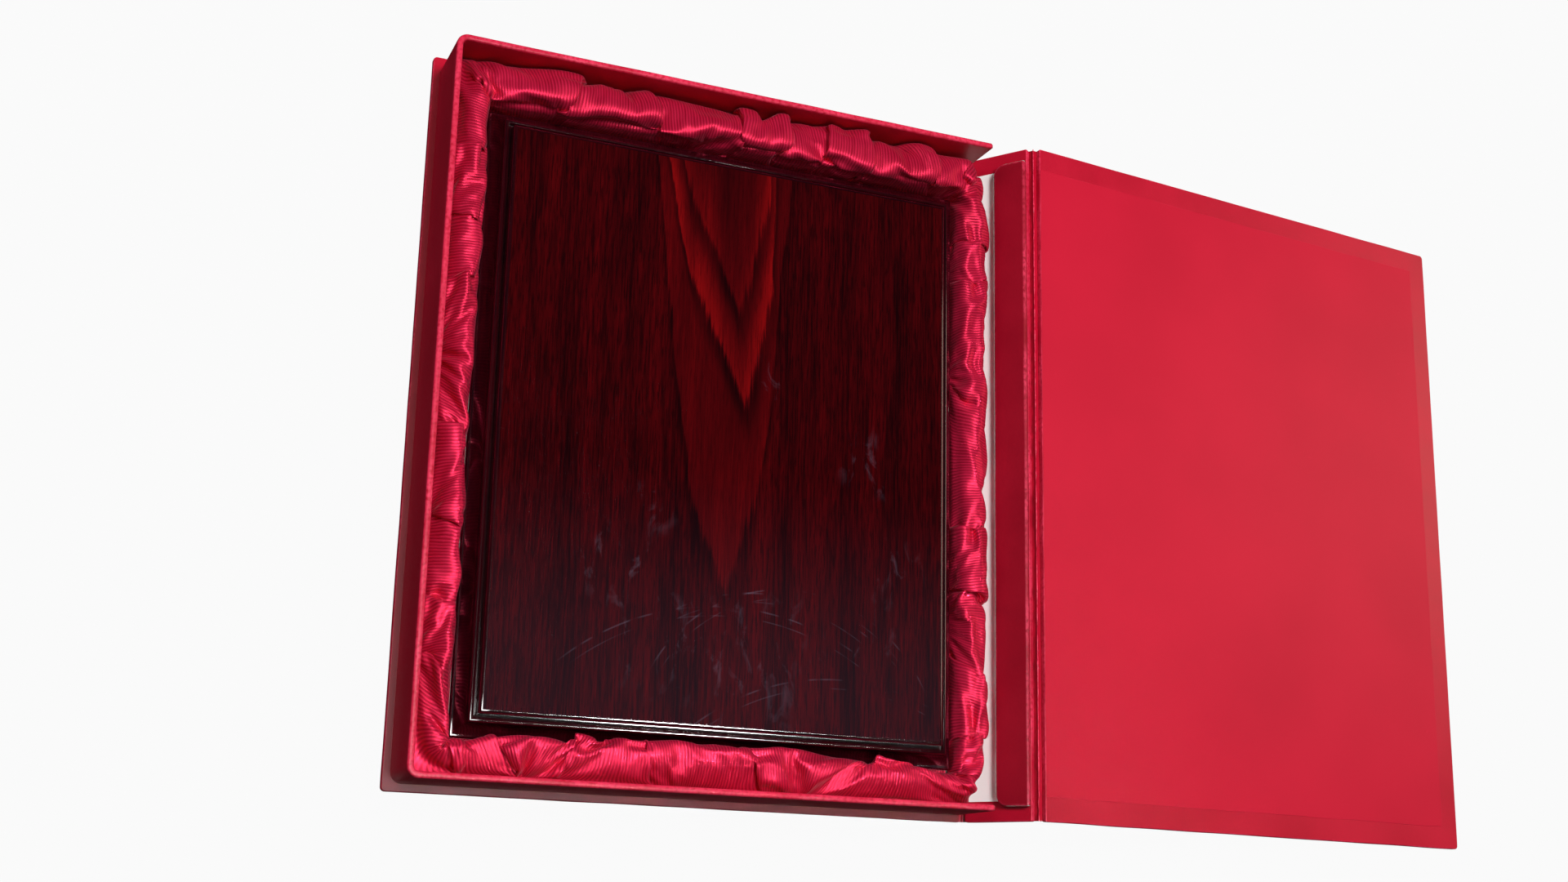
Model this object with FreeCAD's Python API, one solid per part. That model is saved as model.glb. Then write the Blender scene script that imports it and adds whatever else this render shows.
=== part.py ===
import FreeCAD, Part
import math
import os

# Book-style presentation case, open, with a moulded wooden plaque lying in gathered satin.
# +X points to the hinge side, +Y to the far side and +Z up. The tray's middle is at X = Y = 0.

# The plaque and its moulded edge
plaque_width = 250.0
plaque_length = 300.0
plaque_thickness = 18.0
border_width = 12.0
veneer_thickness = 0.6
edge_height = 4.0
toe_width = 1.4
cove_width = 5.2
cove_rise = 9.4
cove_sag = 1.5
bead_width = 2.2
bead_rise = 0.9
groove_width = 1.4
groove_depth = 1.1

# The space round the plaque, and what lies under and over it
ring_left = 17.8
ring_right = 15.1
ring_far = 24.8
ring_near = 17.0
pad_thickness = 12.4
satin_thickness = 0.6
head_room = 6.0

# Boards, papers and walls of the case
board_core = 2.7
paper = 0.3
wall_board = 2.5
corner_radius = 5.5
rim_round = 1.1
overhang = 3.5
board_corner = 2.0
liner_inset = 12.0
liner_step = 0.05
turn_in = 10.0
lip_height = 18.0
lip_corner = 6.0

# Creases, and how far the case stands open
bead_radius = 0.9
crease_gap = 3.7
spine_lean = 35.0
floor_clearance = 0.05

# Fits
close_gap = 0.4
lip_side_gap = 0.5
bead_gap = 0.3
soft_gap = 0.3
nest_gap = 0.8
satin_skin = 2.0
foam_top = 8.0

# Satin folds: place along the strip, height of the crest above the pad, and where the crest lies
# across the strip, from 0 at the plaque to 1 at the wall
FOLDS_LEFT = [
    (0.00, 15.0, 0.50), (0.07, 18.6, 0.60), (0.14, 14.2, 0.42), (0.24, 18.2, 0.58), (0.31, 15.2, 0.44),
    (0.39, 18.8, 0.60), (0.46, 14.6, 0.46), (0.55, 18.4, 0.56), (0.63, 17.2, 0.62), (0.70, 14.0, 0.42),
    (0.75, 17.6, 0.60), (0.80, 14.4, 0.44), (0.86, 18.4, 0.58), (0.91, 14.2, 0.42), (1.00, 16.4, 0.52),
]
FOLDS_RIGHT = [
    (0.00, 15.4, 0.48), (0.05, 18.8, 0.60), (0.11, 14.2, 0.40), (0.20, 18.4, 0.58), (0.30, 17.4, 0.62),
    (0.40, 14.4, 0.42), (0.49, 18.0, 0.56), (0.59, 14.8, 0.44), (0.68, 18.2, 0.58), (0.78, 17.6, 0.62),
    (0.89, 14.0, 0.40), (0.95, 18.6, 0.60), (1.00, 15.6, 0.48),
]
FOLDS_FAR = [
    (0.00, 14.6, 0.40), (0.06, 18.8, 0.46), (0.12, 16.4, 0.34), (0.20, 18.2, 0.44), (0.27, 15.2, 0.34),
    (0.35, 18.6, 0.44), (0.44, 17.8, 0.40), (0.52, 14.6, 0.32), (0.58, 19.4, 0.46), (0.64, 15.4, 0.34),
    (0.69, 18.6, 0.44), (0.74, 14.4, 0.32), (0.82, 18.0, 0.42), (0.89, 15.6, 0.34), (0.95, 19.6, 0.48),
    (1.00, 15.0, 0.40),
]
FOLDS_NEAR = [
    (0.00, 15.0, 0.50), (0.04, 14.2, 0.46), (0.09, 18.4, 0.60), (0.15, 14.6, 0.44), (0.21, 18.6, 0.60),
    (0.27, 14.4, 0.44), (0.33, 18.2, 0.58), (0.39, 14.6, 0.44), (0.48, 18.6, 0.60), (0.57, 14.4, 0.44),
    (0.67, 18.4, 0.58), (0.78, 14.2, 0.42), (0.88, 18.0, 0.58), (1.00, 15.4, 0.50),
]
SHOULDER_SHARE = 0.66
FOLD_BOW = 0.14
FOLD_STEPS = 48

# How far a cutting block runs past what it cuts
CUT_PAST = 1.0

V = FreeCAD.Vector
X_AXIS, Y_AXIS, Z_AXIS = V(1, 0, 0), V(0, 1, 0), V(0, 0, 1)

# Sizes that follow from the ones above
wall_thickness = wall_board + 2.0 * paper
board_thickness = board_core + 2.0 * paper
floor_z = paper + board_core
tray_width = wall_thickness + ring_left + plaque_width + ring_right
tray_length = 2.0 * wall_thickness + ring_near + plaque_length + ring_far
pad_top = floor_z + pad_thickness
plaque_z = pad_top + satin_thickness
rim_z = plaque_z + plaque_thickness + head_room

left_x, end_x = -tray_width / 2.0, tray_width / 2.0
near_y, far_y = -tray_length / 2.0, tray_length / 2.0
inner_left_x = left_x + wall_thickness
inner_near_y, inner_far_y = near_y + wall_thickness, far_y - wall_thickness
plaque_x = inner_left_x + ring_left + plaque_width / 2.0
plaque_y = inner_near_y + ring_near + plaque_length / 2.0

board_left_x = left_x - overhang
board_half_y = tray_length / 2.0 + overhang
spine_in_x = end_x + close_gap
spine_out_x = spine_in_x + board_thickness
lid_in_z = rim_z + close_gap
lid_out_z = lid_in_z + board_thickness
board_end_x = spine_out_x - crease_gap

axis_x = spine_out_x - bead_radius
base_axis_z = bead_radius
lid_axis_z = lid_out_z - bead_radius
axis_span = lid_axis_z - base_axis_z
web_start = math.sqrt((bead_radius + bead_gap) ** 2 - (bead_radius - paper) ** 2)

# The lid rests with its free edge just over the table, which sets how far it is folded back
ridge_z = base_axis_z + axis_span * math.cos(math.radians(spine_lean))
lid_reach = axis_x - board_left_x
lid_slope = math.degrees(
    math.asin((ridge_z - floor_clearance) / math.hypot(lid_reach, bead_radius))
    - math.atan2(bead_radius, lid_reach)
)
lid_fold = 180.0 + lid_slope - spine_lean


def box(x0, y0, z0, x1, y1, z1):
    """A block between two opposite corners."""
    return Part.makeBox(x1 - x0, y1 - y0, z1 - z0, V(x0, y0, z0))


def round_upright(solid, radius, keep):
    """Rounds the upright edges whose place passes keep(x, y)."""
    chosen = []
    for edge in solid.Edges:
        a, b = edge.Vertexes[0].Point, edge.Vertexes[-1].Point
        if abs(a.x - b.x) < 1e-6 and abs(a.y - b.y) < 1e-6 and keep(a.x, a.y):
            chosen.append(edge)
    return solid.makeFillet(radius, chosen)


def at_rest_on_spine(shape):
    """Turns a piece drawn with the case shut to where the leaning spine carries it."""
    turned = shape.copy()
    turned.rotate(V(axis_x, 0, base_axis_z), Y_AXIS, spine_lean)
    return turned


def at_rest_on_lid(shape):
    """Folds a piece of the shut lid back over its crease, then leans it with the spine."""
    turned = shape.copy()
    turned.rotate(V(axis_x, 0, lid_axis_z), Y_AXIS, lid_fold)
    return at_rest_on_spine(turned)


def save(node, shape):
    """Writes one piece, after making sure that it is one sound solid."""
    if shape.ShapeType == "Compound" and len(shape.Solids) == 1:
        shape = shape.Solids[0]
    if not shape.isValid() or len(shape.Solids) != 1:
        raise RuntimeError(node + " is not one valid solid")
    shape.exportStep(os.path.join("parts", node + ".step"))


def flat_board(x0, x1, half_y, z0, radius):
    """A board with its two free corners rounded."""
    plate = box(x0, -half_y, z0, x1, half_y, z0 + board_thickness)
    return round_upright(plate, radius, lambda x, y: x < (x0 + x1) / 2.0)


def board_core_block(x0, x1, half_y, z0):
    """The grey board inside a covered board: bare at the crease side."""
    core = box(x0 + paper, -half_y + paper, z0 + paper, x1, half_y - paper, z0 + paper + board_core)
    return round_upright(core, board_corner - paper, lambda x, y: x < (x0 + x1) / 2.0)


def tray_room(gap, end, low, high):
    """The room inside the walls, kept clear of them by a gap, with its two left corners rounded."""
    room = box(inner_left_x + gap, inner_near_y + gap, low, end, inner_far_y - gap, high)
    return round_upright(room, corner_radius - wall_thickness - gap, lambda x, y: x < 0)


def tray_walls(inset, end, top, rounding):
    """The three fixed walls as one bent strip, inset on each side, with a softened rim."""
    outer = box(left_x + inset, near_y + inset, floor_z, end, far_y - inset, top)
    outer = round_upright(outer, corner_radius - inset, lambda x, y: x < 0)
    walls = outer.cut(tray_room(-inset, end + CUT_PAST, floor_z - CUT_PAST, top + CUT_PAST))
    rim = [e for e in walls.Edges
           if all(abs(v.Z - top) < 1e-6 for v in e.Vertexes)
           and not all(abs(v.X - end) < 1e-6 for v in e.Vertexes)]
    return walls.makeFillet(rounding, rim)


def make_base():
    """The base board, its cover paper and the bead of the crease beside it."""
    core = board_core_block(board_left_x, board_end_x, board_half_y, 0.0)
    window = box(left_x, near_y, floor_z, board_end_x + CUT_PAST, far_y, board_thickness + CUT_PAST)
    window = round_upright(window, corner_radius, lambda x, y: x < 0)
    cover = flat_board(board_left_x, board_end_x, board_half_y, 0.0, board_corner).cut(core).cut(window)
    bead = Part.makeCylinder(bead_radius, 2.0 * board_half_y, V(axis_x, -board_half_y, base_axis_z), Y_AXIS)
    web = box(board_end_x, -board_half_y, 0.0, axis_x, board_half_y, paper)
    save("base_board", core)
    save("base_cover_paper", cover)
    save("base_crease", bead.fuse(web).removeSplitter())


def make_tray():
    """The bent wall strip and the paper turned over its rim."""
    core = tray_walls(paper, end_x - paper, rim_z - paper, rim_round - paper)
    save("tray_wall_board", core)
    save("tray_wall_wrap", tray_walls(0.0, end_x, rim_z, rim_round).cut(core))


def make_spine():
    """The spine board, its cover and white lining, and the lip that closes between the walls."""
    bottom, top = crease_gap, lid_out_z - crease_gap
    whole = box(spine_in_x, -board_half_y, bottom, spine_out_x, board_half_y, top)
    core = box(spine_in_x + paper, -board_half_y + paper, bottom, spine_out_x - paper, board_half_y - paper, top)
    lining = box(spine_in_x, -board_half_y + turn_in, bottom, spine_in_x + paper, board_half_y - turn_in, top)
    tail = box(spine_out_x - paper, -board_half_y, base_axis_z + web_start, spine_out_x, board_half_y, bottom)
    save("spine_board", at_rest_on_spine(core))
    save("spine_lining", at_rest_on_spine(lining))
    save("spine_cover_paper", at_rest_on_spine(whole.cut(core).cut(lining).fuse(tail).removeSplitter()))

    bead = Part.makeCylinder(bead_radius, 2.0 * board_half_y, V(axis_x, -board_half_y, lid_axis_z), Y_AXIS)
    web = box(spine_out_x - paper, -board_half_y, top, spine_out_x, board_half_y, lid_axis_z)
    save("lid_crease", at_rest_on_spine(bead.fuse(web).removeSplitter()))

    core = make_lip(paper, rim_round - paper)
    save("spine_lip_board", at_rest_on_spine(core))
    save("spine_lip_wrap", at_rest_on_spine(make_lip(0.0, rim_round).cut(core)))


def make_lip(inset, rounding):
    """The strip on the spine's inner face, with slanted lower corners and a softened rim."""
    half_y = tray_length / 2.0 - wall_thickness - lip_side_gap - inset
    low, high = rim_z - lip_height, rim_z - inset
    cut = lip_corner - inset / 2.0
    x0 = spine_in_x - wall_thickness + inset
    outline = [V(x0, -half_y, high), V(x0, -half_y, low + cut), V(x0, -half_y + cut, low),
               V(x0, half_y - cut, low), V(x0, half_y, low + cut), V(x0, half_y, high)]
    strip = Part.Face(Part.makePolygon(outline + outline[:1])).extrude(X_AXIS * (wall_thickness - 2.0 * inset))
    rim = [e for e in strip.Edges
           if all(abs(v.Z - high) < 1e-6 for v in e.Vertexes)
           and abs(e.Vertexes[0].X - e.Vertexes[-1].X) < 1e-6]
    return strip.makeFillet(rounding, rim)


def make_lid():
    """The lid board, its cover paper and the liner sheet on its inner face."""
    plate = flat_board(board_left_x, board_end_x, board_half_y, lid_in_z, board_corner)
    core = board_core_block(board_left_x, board_end_x, board_half_y, lid_in_z)
    liner = box(board_left_x + liner_inset, -board_half_y + liner_inset, lid_in_z - liner_step,
                board_end_x, board_half_y - liner_inset, lid_in_z + paper)
    tail = box(board_end_x, -board_half_y, lid_out_z - paper, axis_x - web_start, board_half_y, lid_out_z)
    save("lid_board", at_rest_on_lid(core))
    save("lid_liner", at_rest_on_lid(liner))
    save("lid_cover_paper", at_rest_on_lid(plate.cut(core).cut(liner).fuse(tail).removeSplitter()))


def moulding_face():
    """The plaque's edge in section: upright, toe, cove, bead, groove and rounded shoulder."""
    top = plaque_thickness
    cove_x, cove_z = toe_width, edge_height + toe_width
    bead_x, bead_z = cove_x + cove_width, cove_z + cove_rise - toe_width
    groove_x, groove_z = bead_x + bead_width, bead_z - groove_depth
    shoulder_x = groove_x + groove_width
    shoulder = border_width - shoulder_x
    chord = math.hypot(cove_width, bead_z - cove_z)
    sag_x, sag_z = (bead_z - cove_z) / chord * cove_sag, -cove_width / chord * cove_sag
    s45 = math.sqrt(0.5)

    def at(u, z):
        return V(u, 0.0, z)

    edges = [
        Part.LineSegment(at(0, 0), at(0, edge_height)).toShape(),
        Part.Arc(at(0, edge_height), at(toe_width * (1 - s45), edge_height + toe_width * s45),
                 at(cove_x, cove_z)).toShape(),
        Part.Arc(at(cove_x, cove_z),
                 at(cove_x + cove_width / 2.0 + sag_x, (cove_z + bead_z) / 2.0 + sag_z),
                 at(bead_x, bead_z)).toShape(),
        Part.Arc(at(bead_x, bead_z), at(bead_x + bead_width / 2.0, bead_z + bead_rise),
                 at(groove_x, bead_z)).toShape(),
        Part.LineSegment(at(groove_x, bead_z), at(groove_x, groove_z)).toShape(),
        Part.LineSegment(at(groove_x, groove_z), at(shoulder_x, groove_z)).toShape(),
        Part.LineSegment(at(shoulder_x, groove_z), at(shoulder_x, top - shoulder)).toShape(),
        Part.Arc(at(shoulder_x, top - shoulder),
                 at(shoulder_x + shoulder * (1 - s45), top - shoulder + shoulder * s45),
                 at(border_width, top)).toShape(),
        Part.LineSegment(at(border_width, top), at(border_width, 0)).toShape(),
        Part.LineSegment(at(border_width, 0), at(0, 0)).toShape(),
    ]
    return Part.Face(Part.Wire(edges))


def moulded_side(length):
    """One side of the moulded border, lying along +Y from the origin, mitred at both ends."""
    run = moulding_face().extrude(Y_AXIS * length)
    plan = [V(0, 0, 0), V(border_width, border_width, 0), V(border_width, length - border_width, 0),
            V(0, length, 0)]
    mitre = Part.Face(Part.makePolygon(plan + plan[:1])).extrude(Z_AXIS * plaque_thickness)
    return run.common(mitre)


def make_plaque():
    """The plaque's moulded core and the veneered field set in its face."""
    x0, y0 = plaque_x - plaque_width / 2.0, plaque_y - plaque_length / 2.0
    field = (border_width, border_width, plaque_width - border_width, plaque_length - border_width)
    core = box(field[0], field[1], 0.0, field[2], field[3], plaque_thickness - veneer_thickness)
    corners = [(0, 0, 0), (plaque_width, 0, 90), (plaque_width, plaque_length, 180), (0, plaque_length, 270)]
    for x, y, turn in corners:
        side = moulded_side(plaque_length if turn % 180 == 0 else plaque_width)
        side.rotate(V(0, 0, 0), Z_AXIS, turn)
        side.translate(V(x, y, 0))
        core = core.fuse(side)
    core = core.removeSplitter()
    veneer = box(field[0], field[1], plaque_thickness - veneer_thickness, field[2], field[3], plaque_thickness)
    for node, shape in (("plaque_core", core), ("plaque_veneer", veneer)):
        shape.translate(V(x0, y0, plaque_z))
        save(node, shape)


def make_floor():
    """The foam pad on the base board and the satin laid over it under the plaque."""
    pad = tray_room(soft_gap, end_x - soft_gap, floor_z, pad_top)
    half_w, half_l = plaque_width / 2.0 + nest_gap / 2.0, plaque_length / 2.0 + nest_gap / 2.0
    sheet = box(plaque_x - half_w, plaque_y - half_l, pad_top, plaque_x + half_w, plaque_y + half_l, plaque_z)
    save("floor_pad", pad)
    save("satin_floor", sheet)


def bowed(start, end):
    """An arc between two points of one section, bowed upwards and well under a half circle."""
    middle, chord = (start + end) * 0.5, end - start
    rise = V(-chord.z, 0.0, chord.x)
    return Part.Arc(start, middle + rise * FOLD_BOW, end).toShape()


def fold_section(width, height, crest, place):
    """A crowned section across a satin strip: two short sides and two arcs that meet at the crest."""
    rise = height * SHOULDER_SHARE
    top = V(width * crest, place, height)
    start, end = V(0, place, rise), V(width, place, rise)
    edges = [
        Part.LineSegment(V(0, place, 0), start).toShape(),
        bowed(start, top),
        bowed(top, end),
        Part.LineSegment(end, V(width, place, 0)).toShape(),
        Part.LineSegment(V(width, place, 0), V(0, place, 0)).toShape(),
    ]
    return Part.Wire(edges)


def crest_at(folds, share):
    """The crest's height and place across the strip, eased between the folds on each side."""
    for (s0, h0, c0), (s1, h1, c1) in zip(folds, folds[1:]):
        if share <= s1:
            ease = (1.0 - math.cos(math.pi * (share - s0) / (s1 - s0))) / 2.0
            return h0 + (h1 - h0) * ease, c0 + (c1 - c0) * ease
    return folds[-1][1:]


def make_strip(name, width, length, folds, place, turn):
    """A gathered satin strip over its foam, drawn across +X and along +Y, then put in its place."""
    shares = [step / FOLD_STEPS for step in range(FOLD_STEPS + 1)]
    sections = [fold_section(width, *crest_at(folds, share), length * share) for share in shares]
    satin = Part.makeLoft(sections, True, True)
    foam = box(satin_skin, satin_skin, 0.0, width - satin_skin, length - satin_skin, foam_top)
    satin = satin.cut(foam)
    for shape in (satin, foam):
        shape.rotate(V(0, 0, 0), Z_AXIS, turn)
        shape.translate(V(place[0], place[1], pad_top))
    save("satin_" + name, satin.common(tray_room(soft_gap, end_x, pad_top, rim_z)))
    save("foam_" + name, foam)


def make_lining():
    """The four gathered strips round the plaque: the far and near ones run the tray's whole width."""
    x_low, x_high = inner_left_x + soft_gap, end_x + close_gap - wall_thickness - soft_gap
    y_low, y_high = inner_near_y + soft_gap, inner_far_y - soft_gap
    nest_left = plaque_x - plaque_width / 2.0 - nest_gap
    nest_right = plaque_x + plaque_width / 2.0 + nest_gap
    nest_near = plaque_y - plaque_length / 2.0 - nest_gap
    nest_far = plaque_y + plaque_length / 2.0 + nest_gap
    side_low, side_high = nest_near + soft_gap, nest_far - soft_gap
    side = side_high - side_low
    make_strip("left", nest_left - x_low, side, FOLDS_LEFT,
               (nest_left, side_high), 180.0)
    make_strip("right", x_high - nest_right, side, FOLDS_RIGHT, (nest_right, side_low), 0.0)
    make_strip("far", y_high - nest_far, x_high - x_low, FOLDS_FAR, (x_high, nest_far), 90.0)
    make_strip("near", nest_near - y_low, x_high - x_low, FOLDS_NEAR, (x_low, nest_near), -90.0)


def main():
    """Builds every piece and prints the sizes that the record needs."""
    os.makedirs("parts", exist_ok=True)
    make_base()
    make_tray()
    make_spine()
    make_lid()
    make_plaque()
    make_floor()
    make_lining()
    ridge_x = axis_x + axis_span * math.sin(math.radians(spine_lean))
    print("tray", tray_width, tray_length, "rim", rim_z, "plaque at", plaque_x, plaque_y, plaque_z)
    print("base axis", axis_x, base_axis_z, "lid axis", ridge_x, ridge_z, "closes by", spine_lean, lid_fold)
    print("lid slope", lid_slope, "boards", board_left_x, board_end_x, board_half_y, "shut height", lid_out_z)


main()
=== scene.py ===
"""Looks of an open presentation case with a moulded wooden plaque lying in gathered satin.

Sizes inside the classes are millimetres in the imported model's frame: +X is the hinge side, +Y the far side.
"""
from __future__ import annotations

import logging
import math
from dataclasses import dataclass, fields
from enum import Enum
from typing import Callable, Optional, Sequence, Union

import bpy
import numpy as np
from mathutils import Matrix, Vector


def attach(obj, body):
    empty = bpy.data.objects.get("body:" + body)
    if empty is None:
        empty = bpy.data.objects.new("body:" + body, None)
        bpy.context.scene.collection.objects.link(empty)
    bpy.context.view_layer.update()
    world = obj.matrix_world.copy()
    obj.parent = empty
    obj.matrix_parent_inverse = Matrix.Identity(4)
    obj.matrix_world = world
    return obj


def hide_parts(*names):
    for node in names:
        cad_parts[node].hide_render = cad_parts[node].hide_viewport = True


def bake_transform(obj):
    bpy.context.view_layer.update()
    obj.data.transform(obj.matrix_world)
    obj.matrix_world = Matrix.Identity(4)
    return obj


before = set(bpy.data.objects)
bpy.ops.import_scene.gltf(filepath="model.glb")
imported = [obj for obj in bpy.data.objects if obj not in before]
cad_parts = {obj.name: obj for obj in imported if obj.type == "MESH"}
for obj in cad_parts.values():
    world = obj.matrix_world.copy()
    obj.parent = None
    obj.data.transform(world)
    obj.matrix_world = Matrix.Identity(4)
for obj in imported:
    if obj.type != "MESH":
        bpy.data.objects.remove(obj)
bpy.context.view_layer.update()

MM = 0.001
TINY = 1e-6
LOG = logging.getLogger("case")

PLAQUE_CENTRE = (2.9, -3.9)
UNEVEN_WAVE = 60.0
WEAR_AND_HIGHLIGHT_WAVE = 45.0
WEAR_AND_HIGHLIGHT_BESIDE_EDGE = 0.35

Colour = tuple[float, float, float, float]
Point = tuple[float, float]


def display(red: float, green: float, blue: float) -> Colour:
    """The linear colour of a display colour.

    Args:
        red, green, blue: display values from 0 to 255.

    Returns:
        Linear red, green, blue and a full alpha.
    """
    share = np.array([red, green, blue]) / 255.0
    linear = np.where(share <= 0.04045, share / 12.92, ((share + 0.055) / 1.055) ** 2.4)
    return (*[float(x) for x in linear], 1.0)


def ripple(where: np.ndarray, wavelength: float, seed: int, terms: int = 6) -> np.ndarray:
    """A smooth seeded wave: a sum of sines whose lengths are spread about one wavelength.

    Args:
        where: places along the wave, in mm.
        wavelength: typical length of one wave, in mm.
        seed: picks the phases and lengths.
        terms: how many sines are added.

    Returns:
        Values mostly between -1 and 1, in the shape of where.
    """
    rng = np.random.default_rng(seed)
    lengths = wavelength * rng.uniform(0.55, 1.8, terms)
    phases = rng.uniform(0.0, 2.0 * math.pi, terms)
    waves = np.sin(2.0 * math.pi * np.asarray(where)[..., None] / lengths + phases)
    return waves.sum(-1) / math.sqrt(terms)


def steps_along(points: np.ndarray) -> np.ndarray:
    """Distance along a row of points, from 0."""
    return np.concatenate([[0.0], np.cumsum(np.linalg.norm(np.diff(points, axis=0), axis=1))])


# Materials


class Coords(Enum):
    """Where a pattern takes its place from."""

    OBJECT = "Object"
    OWN_UV = "UV"


class Wire:
    """A value on its way through a material. Sums and products of wires add Math nodes."""

    def __init__(self, dye: "Dye", socket: bpy.types.NodeSocket) -> None:
        """Keeps the socket and the material that it belongs to."""
        self.dye = dye
        self.socket = socket

    def __add__(self, other: "Value") -> "Wire":
        """self + other."""
        return self.dye.maths("ADD", self, other)

    __radd__ = __add__

    def __mul__(self, other: "Value") -> "Wire":
        """self * other."""
        return self.dye.maths("MULTIPLY", self, other)

    __rmul__ = __mul__

    def __sub__(self, other: "Value") -> "Wire":
        """self - other."""
        return self.dye.maths("SUBTRACT", self, other)

    def __rsub__(self, other: "Value") -> "Wire":
        """other - self."""
        return self.dye.maths("SUBTRACT", other, self)

    def __abs__(self) -> "Wire":
        """The size of self, without its sign."""
        return self.dye.maths("ABSOLUTE", self)

    def sine(self) -> "Wire":
        """The sine of self, in radians."""
        return self.dye.maths("SINE", self)

    def root(self) -> "Wire":
        """The square root of self."""
        return self.dye.maths("SQRT", self)

    def most(self, other: "Value") -> "Wire":
        """The larger of self and other."""
        return self.dye.maths("MAXIMUM", self, other)

    def rise(self, low: float, high: float) -> "Wire":
        """A smooth step from 0 at low to 1 at high; low may be above high.

        Args:
            low: where the step starts.
            high: where it ends.

        Returns:
            The stepped value.
        """
        if low > high:
            return 1.0 - self.rise(high, low)
        made = self.dye.node("ShaderNodeMapRange", {"interpolation_type": "SMOOTHSTEP"},
                             {"Value": self, "From Min": low, "From Max": high})
        return Wire(self.dye, made.outputs["Result"])


Value = Union[Wire, float]


class Dye:
    """One material in the making: adds nodes, joins them and ends in a Principled shader."""

    def __init__(self, name: str) -> None:
        """Starts an empty material.

        Args:
            name: the material's name.
        """
        self.material = bpy.data.materials.new(name)
        self.material.use_nodes = True
        self.tree = self.material.node_tree
        self.tree.nodes.clear()

    def feed(self, socket: bpy.types.NodeSocket, value: Union[Wire, float, Sequence[float]]) -> None:
        """Links a wire to a socket, or sets the socket to a plain value."""
        if isinstance(value, Wire):
            self.tree.links.new(value.socket, socket)
        else:
            socket.default_value = value

    def node(self, kind: str, settings: Optional[dict] = None,
             inputs: Optional[dict] = None) -> bpy.types.Node:
        """Adds one node.

        Args:
            kind: Blender's name for the node's type.
            settings: the node's own settings, set first.
            inputs: a value or wire for each named socket.

        Returns:
            The new node.
        """
        made = self.tree.nodes.new(kind)
        for key, value in (settings or {}).items():
            setattr(made, key, value)
        for key, value in (inputs or {}).items():
            self.feed(next(s for s in made.inputs if s.enabled and s.name == key), value)
        return made

    def maths(self, operation: str, *values: Value) -> Wire:
        """A Math node on one or two values."""
        made = self.node("ShaderNodeMath", {"operation": operation})
        for socket, value in zip(made.inputs, values):
            self.feed(socket, value)
        return Wire(self, made.outputs[0])

    def place(self, coords: Coords, stretch: Sequence[float] = (1.0, 1.0, 1.0),
              shift: Sequence[float] = (0.0, 0.0, 0.0)) -> Wire:
        """The place on the surface in mm, stretched and then shifted.

        Args:
            coords: which coordinates the pattern follows.
            stretch: factor for each axis.
            shift: movement in stretched units.

        Returns:
            A vector.
        """
        source = self.node("ShaderNodeTexCoord").outputs[coords.value]
        scale = 1.0 / MM if coords is Coords.OBJECT else 1.0
        made = self.node("ShaderNodeMapping", None, {
            "Vector": Wire(self, source), "Scale": [s * scale for s in stretch], "Location": list(shift)})
        return Wire(self, made.outputs["Vector"])

    def parts(self, vector: Wire) -> tuple[Wire, Wire, Wire]:
        """The three numbers of a vector."""
        made = self.node("ShaderNodeSeparateXYZ", None, {"Vector": vector})
        return tuple(Wire(self, s) for s in made.outputs)

    def join(self, x: Value, y: Value, z: Value = 0.0) -> Wire:
        """A vector from three numbers."""
        made = self.node("ShaderNodeCombineXYZ", None, {"X": x, "Y": y, "Z": z})
        return Wire(self, made.outputs["Vector"])

    def noise(self, vector: Wire, scale: float, detail: float = 2.0, rough: float = 0.5,
              twist: float = 0.0) -> Wire:
        """Cloudy noise from 0 to 1.

        Args:
            vector: where on the surface.
            scale: clouds for each unit of the vector.
            detail: how many finer layers.
            rough: strength of the finer layers.
            twist: how much the clouds are drawn out of shape.

        Returns:
            The noise value.
        """
        made = self.node("ShaderNodeTexNoise", None, {
            "Vector": vector, "Scale": scale, "Detail": detail, "Roughness": rough, "Distortion": twist})
        return Wire(self, made.outputs[0])

    def cells(self, vector: Wire, scale: float) -> Wire:
        """Distance to the middle of scattered cells."""
        made = self.node("ShaderNodeTexVoronoi", None, {"Vector": vector, "Scale": scale})
        return Wire(self, made.outputs["Distance"])

    def mark(self, name: str) -> Wire:
        """A number that the mesh holds at each point."""
        return Wire(self, self.node("ShaderNodeAttribute", {"attribute_name": name}).outputs["Fac"])

    def blend(self, share: Value, first: Union[Wire, Colour], second: Union[Wire, Colour]) -> Wire:
        """A colour between two, by share."""
        made = self.node("ShaderNodeMix", {"data_type": "RGBA"}, {"Factor": share, "A": first, "B": second})
        return Wire(self, next(s for s in made.outputs if s.enabled))

    def relief(self, height: Wire, depth: float, strength: float = 1.0, under: Optional[Wire] = None) -> Wire:
        """A normal bent by a height.

        Args:
            height: the height, about 0 to 1.
            depth: what a height of 1 stands for, in mm.
            strength: share of the effect.
            under: a normal to build on.

        Returns:
            The bent normal.
        """
        inputs = {"Height": height, "Distance": depth * MM, "Strength": strength}
        if under is not None:
            inputs["Normal"] = under
        return Wire(self, self.node("ShaderNodeBump", None, inputs).outputs["Normal"])

    def finish(self, **sockets: Union[Wire, float, Colour]) -> bpy.types.Material:
        """Ends the material in a Principled shader.

        Args:
            sockets: the shader's sockets, with _ for a space in their names.

        Returns:
            The finished material.
        """
        shader = self.node("ShaderNodeBsdfPrincipled", None,
                           {key.replace("_", " "): value for key, value in sockets.items()})
        self.node("ShaderNodeOutputMaterial", None, {"Surface": Wire(self, shader.outputs[0])})
        return self.material


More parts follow.
